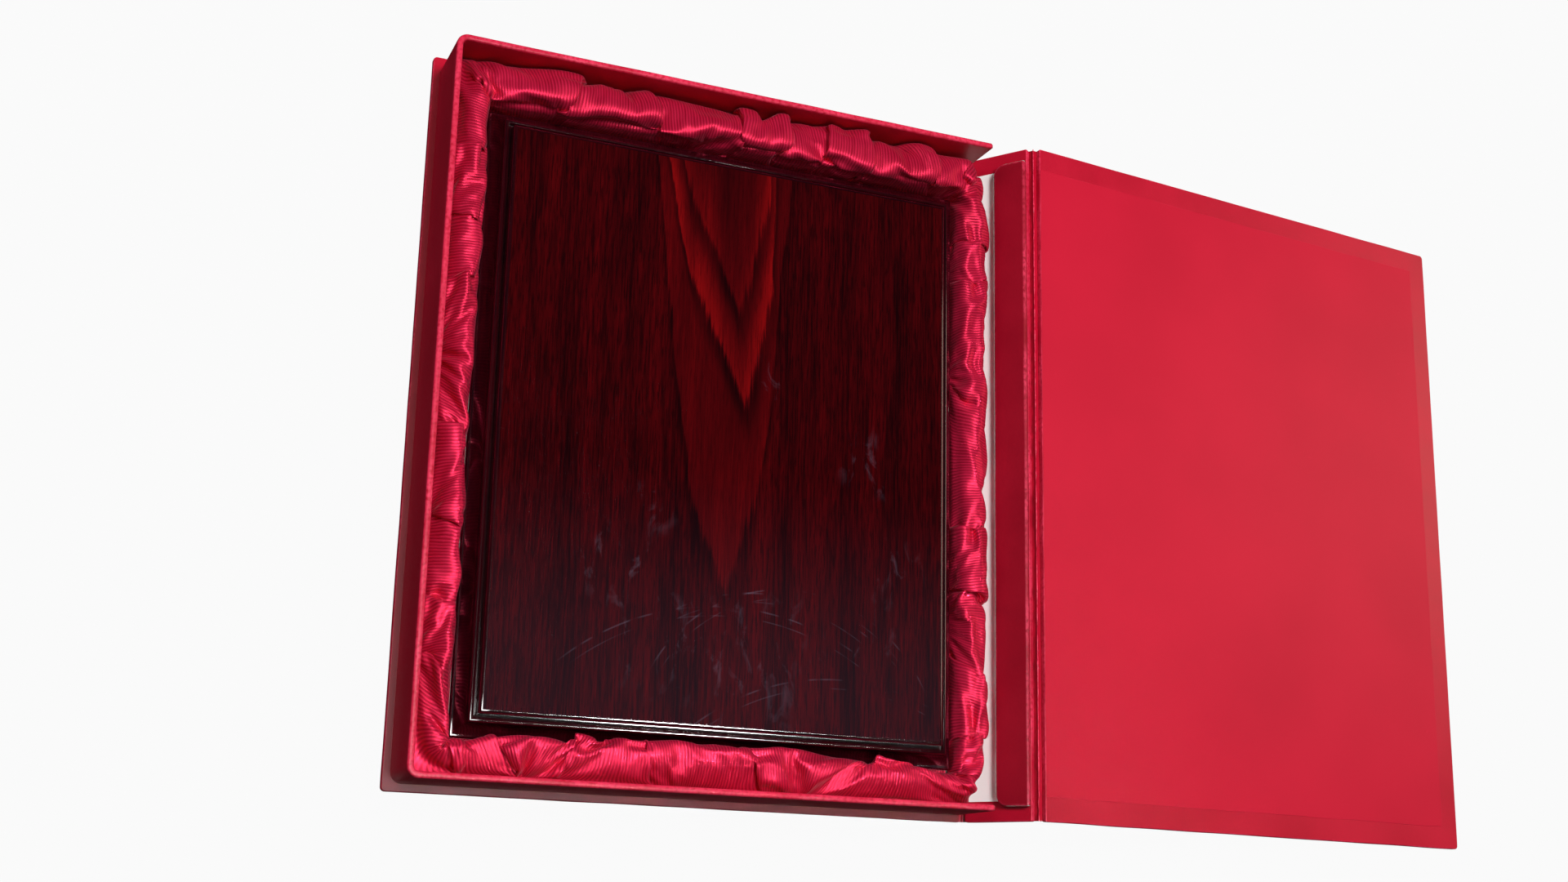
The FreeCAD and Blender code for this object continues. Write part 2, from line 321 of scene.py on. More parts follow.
@dataclass(frozen=True)
class CoverPaper:
    """Red covering paper with a fine grain; folded edges show rubbed wear and a painted highlight."""

    name: str
    deep: Colour
    bright: Colour
    rubbed_and_lit: Colour
    gloss: float = 0.42
    grain: float = 0.05

    def material(self) -> bpy.types.Material:
        """Clouded red, fibre grain in the relief, and a pale colour for wear and painted edge highlight."""
        dye = Dye(self.name)
        at = dye.place(Coords.OBJECT)
        cloud = dye.noise(at, scale=0.022, detail=3.0, rough=0.55)
        drawn = dye.place(Coords.OBJECT, stretch=(1.0, 0.35, 1.0))
        fibre = dye.noise(drawn, scale=1.9, detail=3.0, rough=0.6)
        speck = dye.noise(at, scale=0.55)
        tone = dye.blend((cloud * 0.75 + fibre * 0.35 - 0.05).rise(0.25, 0.85), self.deep, self.bright)
        # Painted highlight and wear: the edge mark pales rims and beads as if light caught them.
        wear = dye.mark("wear") * speck.rise(0.25, 0.62)
        colour = dye.blend(wear * 0.6, tone, self.rubbed_and_lit)
        rough = self.gloss + (fibre - 0.5) * 0.22 + (cloud - 0.5) * 0.12
        normal = dye.relief(fibre, depth=self.grain, strength=0.55)
        normal = dye.relief(cloud, depth=0.5, strength=0.12, under=normal)
        return dye.finish(Base_Color=colour, Roughness=rough, Normal=normal, Specular_IOR_Level=0.32)


@dataclass(frozen=True)
class LiningSheet:
    """Smooth paper pasted on a board: faint clouds, fibres and scuffs."""

    name: str
    deep: Colour
    bright: Colour
    scuff: Colour
    gloss: float = 0.5

    def material(self) -> bpy.types.Material:
        """Two close tones by slow clouds, with a few scuffed spots and its fibres in the relief."""
        dye = Dye(self.name)
        at = dye.place(Coords.OBJECT)
        cloud = dye.noise(at, scale=0.011, detail=3.0)
        drawn = dye.place(Coords.OBJECT, stretch=(0.6, 1.0, 1.0))
        fibre = dye.noise(drawn, scale=2.4, rough=0.6)
        spot = dye.noise(at, scale=0.09, detail=4.0, rough=0.6).rise(0.68, 0.8)
        tone = dye.blend((cloud * 0.8 + fibre * 0.3).rise(0.3, 0.8), self.deep, self.bright)
        # Edge mark: wear, and on the red liner a paler painted edge highlight.
        colour = dye.blend((spot * 0.3 + dye.mark("wear") * 0.7).rise(0.0, 1.0), tone, self.scuff)
        rough = self.gloss + (fibre - 0.5) * 0.16 + spot * 0.1
        normal = dye.relief(fibre, depth=0.03, strength=0.5)
        return dye.finish(Base_Color=colour, Roughness=rough, Normal=normal, Specular_IOR_Level=0.2)


@dataclass(frozen=True)
class Satin:
    """Crimson satin: a broad tinted sheen, close ribs across the strip and slubs along it."""

    name: str
    deep: Colour
    bright: Colour
    sheen: Colour
    rib: float = 1.4
    wobble: float = 9.0
    gloss: float = 0.47

    def material(self) -> bpy.types.Material:
        """Threads follow the cloth's own flat coordinates, in mm: ribs are a sine along the strip."""
        dye = Dye(self.name)
        along, across, _ = dye.parts(dye.place(Coords.OWN_UV))
        flat = dye.join(along, across)
        drift = dye.noise(flat, scale=0.05)
        ribs = (along * (2.0 * math.pi / self.rib) + drift * self.wobble).sine() * 0.5 + 0.5
        slub = dye.noise(dye.join(along * 0.9, across * 0.06), scale=1.0, detail=3.0, rough=0.6)
        cloud = dye.noise(flat, scale=0.03)
        tone = (ribs * 0.34 + slub * 0.4 + cloud * 0.4).rise(0.2, 0.95)
        colour = dye.blend(tone, self.deep, self.bright)
        rough = self.gloss + (slub - 0.5) * 0.18 + ribs * 0.05
        normal = dye.relief(ribs * 0.8 + slub * 0.4, depth=0.2, strength=0.6)
        return dye.finish(Base_Color=colour, Roughness=rough, Normal=normal, Specular_IOR_Level=1.0,
                          Specular_Tint=self.sheen, Metallic=0.6, Anisotropic=0.5, Sheen_Weight=0.2,
                          Sheen_Roughness=0.35, Sheen_Tint=self.sheen)


class Figure(Enum):
    """How the grain of the wood lies."""

    FLAME = "nested points down the face"
    STRAIGHT = "straight along each moulding"


@dataclass(frozen=True)
class Tongue:
    """One tongue of the flame figure, which hangs to a point and is lighter than the wood round it.

    The lean is its middle line's way aside for each mm of height. The shoulder sets how high its sides turn
    steep, the fade over what height it darkens again, and the line how dark its edge is.
    """

    tip: Point
    lean: float
    shoulder: float
    strength: float
    fade: float
    line: float


@dataclass(frozen=True)
class Smudge:
    """A finger smudge on the lacquer, round its centre."""

    centre: Point
    reach: float
    strength: float


@dataclass(frozen=True)
class Wipe:
    """A wiping scratch: an arc about a far centre, seen above the height low."""

    centre: Point
    radius: float
    low: float


def distance(x: Wire, y: Wire, centre: Point) -> Wire:
    """How far a place lies from a centre."""
    dx, dy = x - centre[0], y - centre[1]
    return (dx * dx + dy * dy).root()


@dataclass(frozen=True)
class Rosewood:
    """Dark red-brown wood under a thick clear lacquer. Places on the face are mm from the plaque's middle."""

    name: str
    dark: Colour
    middle: Colour
    light: Colour
    figure: Figure
    # Colour of smudges and hairlines, and of the painted reflection veil.
    dust_and_reflection: Colour = display(150, 140, 165)
    tongues: tuple[Tongue, ...] = (
        Tongue((-1.0, -80.0), -0.03, 115.0, 0.2, 260.0, 0.12),
        Tongue((6.8, 13.0), -0.13, 140.0, 0.4, 70.0, 0.25),
        Tongue((3.7, 59.0), -0.13, 140.0, 0.22, 65.0, 0.25),
    )
    smudges: tuple[Smudge, ...] = (
        Smudge((74.0, -4.0), 22.0, 0.7), Smudge((17.0, 31.0), 15.0, 0.8), Smudge((-39.0, -39.0), 16.0, 0.7),
        Smudge((-54.0, -67.0), 24.0, 1.0), Smudge((-32.0, -100.0), 34.0, 0.7),
        Smudge((73.0, -89.0), 22.0, 0.8), Smudge((88.0, -57.0), 20.0, 0.6), Smudge((12.0, -106.0), 48.0, 0.6),
    )
    wipes: tuple[Wipe, ...] = (
        Wipe((20.0, -170.0), 96.0, -100.0), Wipe((34.0, -150.0), 79.0, -110.0),
        Wipe((4.0, -210.0), 128.0, -110.0), Wipe((60.0, -230.0), 118.0, -140.0),
    )
    blunt: float = 2.8
    steep: float = 9.2
    bend: float = 9.0
    fray: float = 26.0
    twin_gap: float = 4.3

    def flame(self, x: Wire, y: Wire, wander: Wire, streak: Wire) -> tuple[Wire, Wire]:
        """The flame figure: tongues of wood that hang down inside each other.

        A tongue's level is its height over the tip, less the larger of a blunt and a steep slope times the
        distance from a leaning middle line, so its edge is a point that turns into two long sides. The wood
        steps lighter inside that edge, fades upwards again, and a dark line follows the edge.

        Args:
            x, y: place on the face.
            wander: slow noise that bends the edges.
            streak: the grain's streaks, which fray the edges.

        Returns:
            How much lighter the wood gets, and where the largest tongue lies (0 to 1).
        """
        total: Value = 0.0
        insides: list[Wire] = []
        for one in self.tongues:
            height = y - one.tip[1]
            aside = abs(x - one.tip[0] - height * one.lean + (wander - 0.5) * self.bend)
            slope = (aside * self.blunt).most(aside * self.steep - one.shoulder)
            level = height - slope + (streak - 0.5) * self.fray
            inside = level.rise(-1.0, 8.0)
            edge = level.rise(-22.0, -3.0) * level.rise(8.0, 0.0)
            total = inside * level.rise(one.fade, 0.0) * one.strength - edge * one.line + total
            insides.append(inside)
        return total, insides[0]

    def material(self) -> bpy.types.Material:
        """Streaks along the grain, pores, the figure, then haze, hairlines and a painted reflection."""
        dye = Dye(self.name)
        flaming = self.figure is Figure.FLAME
        if flaming:
            middle = (-PLAQUE_CENTRE[0], -PLAQUE_CENTRE[1], 0.0)
            x, y, _ = dye.parts(dye.place(Coords.OBJECT, shift=middle))
        else:
            y, x, _ = dye.parts(dye.place(Coords.OWN_UV))
        wander = dye.noise(dye.join(x * 0.02, y * 0.012), scale=1.0)
        broad = dye.noise(dye.join(x * 0.07 + wander * 0.6, y * 0.0035), scale=1.0, detail=3.0, rough=0.55)
        streak = dye.noise(dye.join(x * 0.75 + wander * 1.5, y * 0.03), scale=1.0, detail=4.0, rough=0.65)
        pore = dye.noise(dye.join(x * 1.2 + wander * 2.0, y * 0.085), scale=1.0, detail=3.0, rough=0.6)
        pore = pore.rise(0.48, 0.64)
        lighter = (broad - 0.5) * 0.9 + 0.36
        if flaming:
            figure, tongue = self.flame(x, y, wander, streak)
            lighter = lighter + figure + (streak - 0.5) * (1.1 - tongue * 0.5)
            pore = pore * (1.0 - tongue * 0.5)
        else:
            lighter = lighter + (streak - 0.5) * 1.1
        tone = dye.blend(lighter.rise(0.05, 0.62), self.dark, self.middle)
        tone = dye.blend(lighter.rise(0.5, 1.25), tone, self.light)
        tone = dye.blend(pore * 0.7, tone, self.dark)
        wave = dye.noise(dye.join(x, y), scale=0.045)
        normal = dye.relief(wave, depth=0.35, strength=0.12)
        if not flaming:
            rough = 0.16 + (streak - 0.5) * 0.05
            return dye.finish(Base_Color=tone, Roughness=rough, Normal=normal, Coat_Weight=1.0,
                              Coat_Roughness=0.05, Specular_IOR_Level=0.35)
        haze = self.haze(dye, x, y)
        lines = self.hairlines(dye, x, y)
        # Painted reflection: the veil greys the face towards the near edge, as a faint reflection there.
        reflection_veil = y.rise(-10.0, -130.0)
        colour = dye.blend(haze * 0.12 + lines * 0.07 + reflection_veil * 0.02, tone, self.dust_and_reflection)
        rough = 0.35 + haze * 0.3 + (streak - 0.5) * 0.05
        return dye.finish(Base_Color=colour, Roughness=rough, Normal=normal, Coat_Weight=1.0 - haze * 0.5,
                          Coat_Roughness=0.05, Specular_IOR_Level=0.0)

    def haze(self, dye: Dye, x: Wire, y: Wire) -> Wire:
        """Finger smudges: wiped clouds gathered in round areas of the face."""
        wiped = dye.noise(dye.join(x * 0.11, y * 0.05), scale=1.0, detail=4.0, rough=0.65, twist=0.8)
        total: Value = 0.0
        for one in self.smudges:
            away = distance(x, y, one.centre)
            total = away.rise(one.reach, one.reach * 0.25) * one.strength + total
        return wiped.rise(0.54, 0.76) * total

    def hairlines(self, dye: Dye, x: Wire, y: Wire) -> Wire:
        """Wiping scratches: pairs of thin broken arcs about far centres."""
        broken = dye.noise(dye.join(x, y), scale=0.06).rise(0.5, 0.62)
        total: Value = 0.0
        for one in self.wipes:
            away = distance(x, y, one.centre)
            ring = abs(away - one.radius).rise(0.55, 0.1)
            twin = abs(away - (one.radius - self.twin_gap)).rise(0.4, 0.1)
            total = (ring + twin * 0.7) * y.rise(one.low - 6.0, one.low + 6.0) + total
        return total * broken


@dataclass(frozen=True)
class FibreStock:
    """Plain fibrous stock: grey board or foam."""

    name: str
    deep: Colour
    bright: Colour
    size: float

    def material(self) -> bpy.types.Material:
        """Two tones mixed by noise at the size of the fibres or cells, which also dent the surface."""
        dye = Dye(self.name)
        at = dye.place(Coords.OBJECT)
        grain = dye.noise(at, scale=1.0 / self.size, detail=4.0, rough=0.65)
        cell = dye.cells(at, scale=0.8 / self.size)
        colour = dye.blend((grain * 0.7 + cell * 0.4).rise(0.2, 0.8), self.deep, self.bright)
        return dye.finish(Base_Color=colour, Roughness=0.8 + (grain - 0.5) * 0.2,
                          Normal=dye.relief(cell + grain * 0.5, depth=0.15, strength=0.6))


@dataclass(frozen=True)
class Finishes:
    """Every finish on the case, made once."""

    cover: CoverPaper = CoverPaper("red_cover_paper", display(160, 4, 33), display(182, 9, 43),
                                   display(236, 62, 98))
    # Painted shade: the lip is the same red paper, darker to stand for the shade on its inner face.
    lip: CoverPaper = CoverPaper("lip_paper_painted_shade", display(128, 2, 24), display(146, 5, 31),
                                 display(226, 58, 92))
    liner: LiningSheet = LiningSheet("red_liner_sheet", display(172, 12, 40), display(184, 16, 45),
                                     display(210, 56, 80))
    white: LiningSheet = LiningSheet("white_spine_lining", display(244, 243, 241), display(252, 251, 250),
                                     display(206, 170, 172), 0.6)
    satin: Satin = Satin("crimson_satin", display(164, 5, 38), display(236, 38, 84), display(255, 165, 185))
    face: Rosewood = Rosewood("rosewood_face", display(18, 1, 3), display(59, 2, 5), display(116, 7, 9),
                              Figure.FLAME)
    edge: Rosewood = Rosewood("rosewood_edge", display(20, 1, 5), display(46, 3, 8), display(70, 7, 10),
                              Figure.STRAIGHT)
    board: FibreStock = FibreStock("grey_board", display(120, 116, 110), display(160, 156, 150), 0.8)
    foam: FibreStock = FibreStock("pale_foam", display(226, 222, 206), display(244, 242, 232), 0.5)


# Meshes


class Facing(Enum):
    """Which way a surface's faces point."""

    OUT = "away from the inside of a closed surface"
    UP = "upwards, for an open sheet"


class Surface:
    """Points and faces that grow, grid by grid, into one mesh."""

    def __init__(self) -> None:
        """Starts empty."""
        self.blocks: list[np.ndarray] = []
        self.faces: list[list[int]] = []
        self.marks: dict[str, list[tuple[int, np.ndarray]]] = {}
        self.count = 0

    def grid(self, points: np.ndarray, ring: bool = False, **marks: np.ndarray) -> np.ndarray:
        """Adds a grid of points and the quads between them.

        Args:
            points: an array of rows by columns by 3, in mm.
            ring: whether each row closes on itself.
            marks: values for each point, kept in the mesh; two numbers a point make a UV map.

        Returns:
            The points' indices, rows by columns.
        """
        rows, columns = points.shape[:2]
        index = self.count + np.arange(rows * columns).reshape(rows, columns)
        around = np.concatenate([index, index[:, :1]], axis=1) if ring else index
        quads = np.stack([around[:-1, :-1], around[:-1, 1:], around[1:, 1:], around[1:, :-1]], axis=-1)
        self.faces += quads.reshape(-1, 4).tolist()
        self.blocks.append(points.reshape(-1, 3))
        for name, values in marks.items():
            flat = np.asarray(values, float).reshape(rows * columns, -1)
            self.marks.setdefault(name, []).append((self.count, flat))
        self.count += rows * columns
        return index

    def cap(self, loop: np.ndarray) -> None:
        """Closes a ring of points with one flat face; the loop's order gives its direction."""
        self.faces.append([int(i) for i in loop])

    def volume(self, points: np.ndarray) -> float:
        """Six times the signed volume inside the faces: the sum over a fan of triangles in each."""
        total = 0.0
        for size in sorted({len(f) for f in self.faces}):
            block = points[np.array([f for f in self.faces if len(f) == size])]
            first, second, third = block[:, :1], block[:, 1:-1], block[:, 2:]
            total += float(np.sum(first * np.cross(second, third)))
        return total

    def rise(self, points: np.ndarray) -> float:
        """How much the faces point upwards, added up over the quads."""
        block = points[np.array([f for f in self.faces if len(f) == 4])]
        return float(np.cross(block[:, 2] - block[:, 0], block[:, 3] - block[:, 1])[:, 2].sum())

    def piece(self, name: str, finish: bpy.types.Material, facing: Facing = Facing.OUT,
              crease: float = 38.0) -> bpy.types.Object:
        """Makes the object, smooth except over edges sharper than crease.

        Args:
            name: the piece's name.
            finish: its material.
            facing: which way the faces point.
            crease: angle in degrees past which an edge stays sharp.

        Returns:
            The new object, at the origin.
        """
        points = np.concatenate(self.blocks)
        turned = self.volume(points) if facing is Facing.OUT else self.rise(points)
        faces = self.faces if turned > 0.0 else [f[::-1] for f in self.faces]
        mesh = bpy.data.meshes.new(name)
        mesh.from_pydata((points * MM).tolist(), [], faces)
        mesh.validate()
        mesh.shade_smooth()
        mesh.set_sharp_from_angle(angle=math.radians(crease))
        for mark, blocks in self.marks.items():
            self.store(mesh, mark, blocks)
        mesh.materials.append(finish)
        made = bpy.data.objects.new(name, mesh)
        bpy.context.scene.collection.objects.link(made)
        return made

    def store(self, mesh: bpy.types.Mesh, mark: str, blocks: list[tuple[int, np.ndarray]]) -> None:
        """Writes one mark into the mesh: a UV map for pairs of numbers, else a value for each point.

        Args:
            mesh: the mesh to write to.
            mark: the mark's name.
            blocks: the first point and the values of each grid that has the mark.
        """
        width = blocks[0][1].shape[1]
        values = np.zeros((self.count, width), np.float32)
        for start, block in blocks:
            values[start:start + len(block)] = block
        if width == 2:
            corners = np.zeros(len(mesh.loops), np.int32)
            mesh.loops.foreach_get("vertex_index", corners)
            layer = mesh.uv_layers.new(name=mark)
            layer.data.foreach_set("uv", values[corners].ravel())
        else:
            layer = mesh.attributes.new(mark, "FLOAT", "POINT")
            layer.data.foreach_set("value", values.ravel())


def settle(piece: bpy.types.Object, body: str, node: str) -> None:
    """Gives a finished piece its body and the node that it stands for.

    Args:
        piece: the object.
        body: the body that it rides on.
        node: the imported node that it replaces.
    """
    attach(piece, body)
    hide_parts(node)
    LOG.info("%s rides on %s with %d points", piece.name, body, len(piece.data.vertices))


def rounded_loop(low: Sequence[float], high: Sequence[float], radii: Sequence[float],
                 step: float = 4.0, turns: int = 7) -> tuple[np.ndarray, np.ndarray]:
    """A rectangle with rounded corners: quarter circles joined by straight runs.

    Args:
        low, high: opposite corners.
        radii: corner radii, from the low corner anticlockwise.
        step: spacing of points on the straight runs.
        turns: points on each corner.

    Returns:
        Points and outward normals, both in order round the loop.
    """
    corners = (((low[0], low[1]), (1.0, 1.0), 180.0), ((high[0], low[1]), (-1.0, 1.0), 270.0),
               ((high[0], high[1]), (-1.0, -1.0), 0.0), ((low[0], high[1]), (1.0, -1.0), 90.0))
    arcs, normals = [], []
    for (corner, inward, start), radius in zip(corners, radii):
        angle = np.radians(np.linspace(start, start + 90.0, turns))
        ray = np.stack([np.cos(angle), np.sin(angle)], axis=-1)
        arcs.append(np.array(corner) + np.array(inward) * radius + ray * radius)
        normals.append(ray)
    points, rays = [], []
    for arc, ray, following in zip(arcs, normals, arcs[1:] + arcs[:1]):
        run = following[0] - arc[-1]
        count = max(2, int(np.linalg.norm(run) / step))
        share = np.linspace(0.0, 1.0, count + 1)[1:-1, None]
        points += [arc, arc[-1] + share * run]
        rays += [ray, np.repeat(ray[-1:], len(share), axis=0)]
    return np.concatenate(points), np.concatenate(rays)


def rolled_edge(thickness: float, radius: float, turns: int = 6) -> np.ndarray:
    """The edge of a covered board in section, from its lower face round to its upper one.

    Args:
        thickness: of the board.
        radius: of the two rolled edges.
        turns: points on each edge.

    Returns:
        Pairs of offset (0 at the outline, negative inwards) and height.
    """
    angle = np.linspace(0.0, math.pi / 2.0, turns)
    out = radius * np.sin(angle) - radius
    lower = np.stack([out, radius - radius * np.cos(angle)], axis=-1)
    upper = np.stack([out[::-1], thickness - radius + radius * np.sin(angle)], axis=-1)
    middle = np.array([[0.0, thickness * 0.5]])
    return np.concatenate([lower, middle, upper])


def slab(loop: np.ndarray, rays: np.ndarray, base: float, thickness: float, radius: float,
         lay: Callable[[np.ndarray], np.ndarray], seed: int, wobble: float = 0.06) -> Surface:
    """A flat board with rolled edges: the edge section carried round the outline, capped on both faces.

    Args:
        loop, rays: the outline and its normals.
        base: height of the lower face.
        thickness: of the board.
        radius: of the rolled edges.
        lay: puts the points in their place.
        seed: picks the hand-made unevenness.
        wobble: its size in mm.

    Returns:
        The closed surface, with wear and a painted highlight marked on its edges.
    """
    section = rolled_edge(thickness, radius)
    lap = (0.3 * radius, 0.0)
    section = np.vstack([section[0] - lap, section, section[-1] - lap])
    run = steps_along(loop)
    uneven = wobble * ripple(run, UNEVEN_WAVE, seed)
    offset = section[:, None, 0] + uneven[None, :]
    flat = loop[None] + rays[None] * offset[..., None]
    height = np.broadcast_to(base + section[:, None, 1], offset.shape)
    points = lay(np.concatenate([flat, height[..., None]], axis=-1))
    # Edge mark, full on the rolled edges and weaker on the faces: wear and a painted highlight.
    rubbed_and_lit = np.where(np.abs(section[:, 0]) < radius * 0.9, 1.0, WEAR_AND_HIGHLIGHT_BESIDE_EDGE)
    wear = rubbed_and_lit[:, None] * (0.6 + 0.4 * ripple(run, WEAR_AND_HIGHLIGHT_WAVE, seed + 1))
    wear[0] = wear[-1] = 0.0
    made = Surface()
    index = made.grid(points, ring=True, wear=np.clip(wear, 0.0, 1.0))
    made.cap(index[0, ::-1])
    made.cap(index[-1])
    return made


# Sub-assemblies


@dataclass(frozen=True)
class Hinges:
    """The two paper creases, and how spine and lid stand at rest."""

    axis_x: float = 145.8
    base_z: float = 0.9
    lid_z: float = 42.8
    lean: float = 35.0
    fold: float = 151.7347

    @staticmethod
    def turned(points: np.ndarray, x: float, z: float, degrees: float) -> np.ndarray:
        """Points turned about an axis along Y: z turns towards x."""
        angle = math.radians(degrees)
        moved = points.copy()
        dx, dz = points[..., 0] - x, points[..., 2] - z
        moved[..., 0] = x + dx * math.cos(angle) + dz * math.sin(angle)
        moved[..., 2] = z - dx * math.sin(angle) + dz * math.cos(angle)
        return moved

    def on_spine(self, points: np.ndarray) -> np.ndarray:
        """Points of the shut spine, leaned as it stands at rest."""
        return self.turned(points, self.axis_x, self.base_z, self.lean)

    def on_lid(self, points: np.ndarray) -> np.ndarray:
        """Points of the shut lid, folded back and leaned as it lies at rest."""
        return self.on_spine(self.turned(points, self.axis_x, self.lid_z, self.fold))

    def ridge(self) -> np.ndarray:
        """The lid crease's place at rest, as x and z."""
        at = self.on_spine(np.array([[self.axis_x, 0.0, self.lid_z]]))[0]
        return at[[0, 2]]


@dataclass
class Boards:
    """The covered base, spine and lid boards with their lining sheets and paper creases.

    The wrinkles of a crease are pairs of a place along Y and a depth; a negative depth swells.
    """

    finishes: dict[str, bpy.types.Material]
    hinges: Hinges = Hinges()
    left: float = -146.5
    end: float = 143.25
    half_y: float = 177.5
    thickness: float = 3.3
    edge: float = 0.5
    corner: float = 2.0
    hinge_corner: float = 0.9
    lid_in: float = 40.4
    spine_in: float = 143.4
    spine_low: float = 3.45
    spine_high: float = 40.25
    lip_low: float = 22.0
    lip_high: float = 40.0
    lip_half: float = 170.4
    lip_thickness: float = 3.1
    lip_glue: float = 0.05
    lip_corner: float = 6.0
    lip_top_corner: float = 1.5
    lip_edge: float = 1.1
    turn_in: float = 10.0
    lining_gap: float = 0.4
    lining_lap: float = 4.0
    lining_proud: float = 0.18
    lining_thickness: float = 0.2
    lining_corner: float = 0.5
    lining_edge: float = 0.08
    liner_inset: float = 12.0
    liner_gap: float = 0.3
    liner_proud: float = 0.22
    liner_thickness: float = 0.24
    liner_corner: float = 0.4
    liner_rag: float = 0.12
    bead: float = 1.0
    bead_share: float = 0.26
    bead_waves: tuple[Point, ...] = ((9.0, 0.16), (34.0, 0.14))
    crease_reach: float = 4.4
    crease_turn: float = 0.25
    crease_bend: float = 1.3
    crease_gap: float = 0.3
    crease_points: int = 420
    crease_flank: tuple[float, int] = (0.32, 7)
    crease_middle: tuple[float, int] = (0.28, 15)
    skin_in: float = 0.6
    skin_out: float = 0.9
    skin_swing: float = 0.05
    wrinkles: tuple[Point, ...] = ((136.0, 0.5), (128.0, -0.4), (111.0, 0.45), (64.0, -0.25), (-40.0, 0.3),
                                   (-98.0, -0.25), (-166.0, -0.5), (-171.0, 0.5))
    wrinkle_slant: float = 7.0
    wrinkle_width: float = 1.6

    def flat_board(self, base: float, lay: Callable[[np.ndarray], np.ndarray], seed: int) -> Surface:
        """The base or the lid: rounded at its free corners, nearly square at the crease."""
        loop, rays = rounded_loop((self.left, -self.half_y), (self.end, self.half_y),
                                  (self.corner, self.hinge_corner, self.hinge_corner, self.corner))
        return slab(loop, rays, base, self.thickness, self.edge, lay, seed)

    def upright(self, low: float, high: float, half: float, x: float, thickness: float,
                radii: Sequence[float], edge: float, seed: int) -> Surface:
        """A strip that stands along Y when the case is shut, leaned with the spine.

        Args:
            low, high: its height range.
            half: half its length.
            x: its inner face.
            thickness: through the strip.
            radii: corner radii.
            edge: radius of its rolled edges.
            seed: picks the unevenness.

        Returns:
            The closed surface.
        """
        loop, rays = rounded_loop((-half, low), (half, high), radii)

        def lay(points: np.ndarray) -> np.ndarray:
            """Local length, height and depth become y, z and x."""
            return self.hinges.on_spine(np.stack([points[..., 2], points[..., 0], points[..., 1]], axis=-1))

        return slab(loop, rays, x, thickness, edge, lay, seed)

    def lid_sheet(self, seed: int) -> Surface:
        """The sheet pasted on the lid's inner face: a thin slab whose cut edge wanders a little."""
        low = (self.left + self.liner_inset, -self.half_y + self.liner_inset)
        high = (self.end - self.liner_gap, self.half_y - self.liner_inset)
        loop, rays = rounded_loop(low, high, (self.liner_corner,) * 4, step=2.5, turns=4)
        base, edge = self.lid_in - self.liner_proud, self.liner_thickness * 0.45
        return slab(loop, rays, base, self.liner_thickness, edge, self.hinges.on_lid, seed, self.liner_rag)

    def crease(self, pivot: np.ndarray, before: float, after: float, seed: int) -> Surface:
        """A paper crease: a thin web round the axis with a wrinkled bead on its inner side.

        A line runs straight to the axis, turns about it and runs straight on. The outer skin lies one bead
        radius outside it. The inner skin lies just inside that, and swells over the axis into the bead.

        Args:
            pivot: the axis, as x and z.
            before, after: direction of the two boards in degrees above +X.
            seed: picks the wrinkles.

        Returns:
            The closed surface along Y.
        """
        turn, skin = self.crease_turn, self.skin_in
        (flank, few), (middle, many) = self.crease_flank, self.crease_middle
        share = np.concatenate([np.linspace(-1.0, -flank, few), np.linspace(-middle, middle, many),
                                np.linspace(flank, 1.0, few)])
        heading = np.radians(before + (after - before) * np.clip(share / (2.0 * turn) + 0.5, 0.0, 1.0))
        forward = np.stack([np.cos(heading), np.sin(heading)], axis=-1)
        outward = np.stack([forward[:, 1], -forward[:, 0]], axis=-1)
        straight = np.sign(share) * np.clip(np.abs(share) - turn, 0.0, None) / (1.0 - turn)
        line = pivot + forward * (straight * self.crease_reach)[:, None]
        swell = np.exp(-(share / self.bead_share) ** 4)
        y = np.linspace(-self.half_y + self.crease_gap, self.half_y - self.crease_gap, self.crease_points)
        fine = sum(ripple(y, wave, seed + number) * size
                   for number, (wave, size) in enumerate(self.bead_waves))
        across = y[:, None] - share * self.wrinkle_slant
        slant = sum(np.exp(-((across - place) / self.wrinkle_width) ** 2) * depth
                    for place, depth in self.wrinkles)
        inner = skin - (self.bead + skin) * swell[None] * (1.0 + fine[:, None])
        inner = np.minimum(inner + slant * (0.3 + 0.7 * swell[None]), skin)
        outer = np.full_like(inner, self.skin_out) + self.skin_swing * fine[:, None]
        offset = np.concatenate([inner, outer[:, ::-1]], axis=1)
        there_and_back = np.concatenate([line, line[::-1]])
        rays = np.concatenate([outward, outward[::-1]])
        flat = there_and_back[None] + rays[None] * offset[..., None]
        points = np.stack([flat[..., 0], np.broadcast_to(y[:, None], offset.shape), flat[..., 1]], axis=-1)
        # Edge mark on the bead: wear and a painted highlight along the crease.
        wear = np.concatenate([np.broadcast_to(swell, inner.shape), np.zeros_like(outer)], axis=1)
        made = Surface()
        index = made.grid(points, ring=True, wear=wear)
        made.cap(index[0])
        made.cap(index[-1, ::-1])
        return made

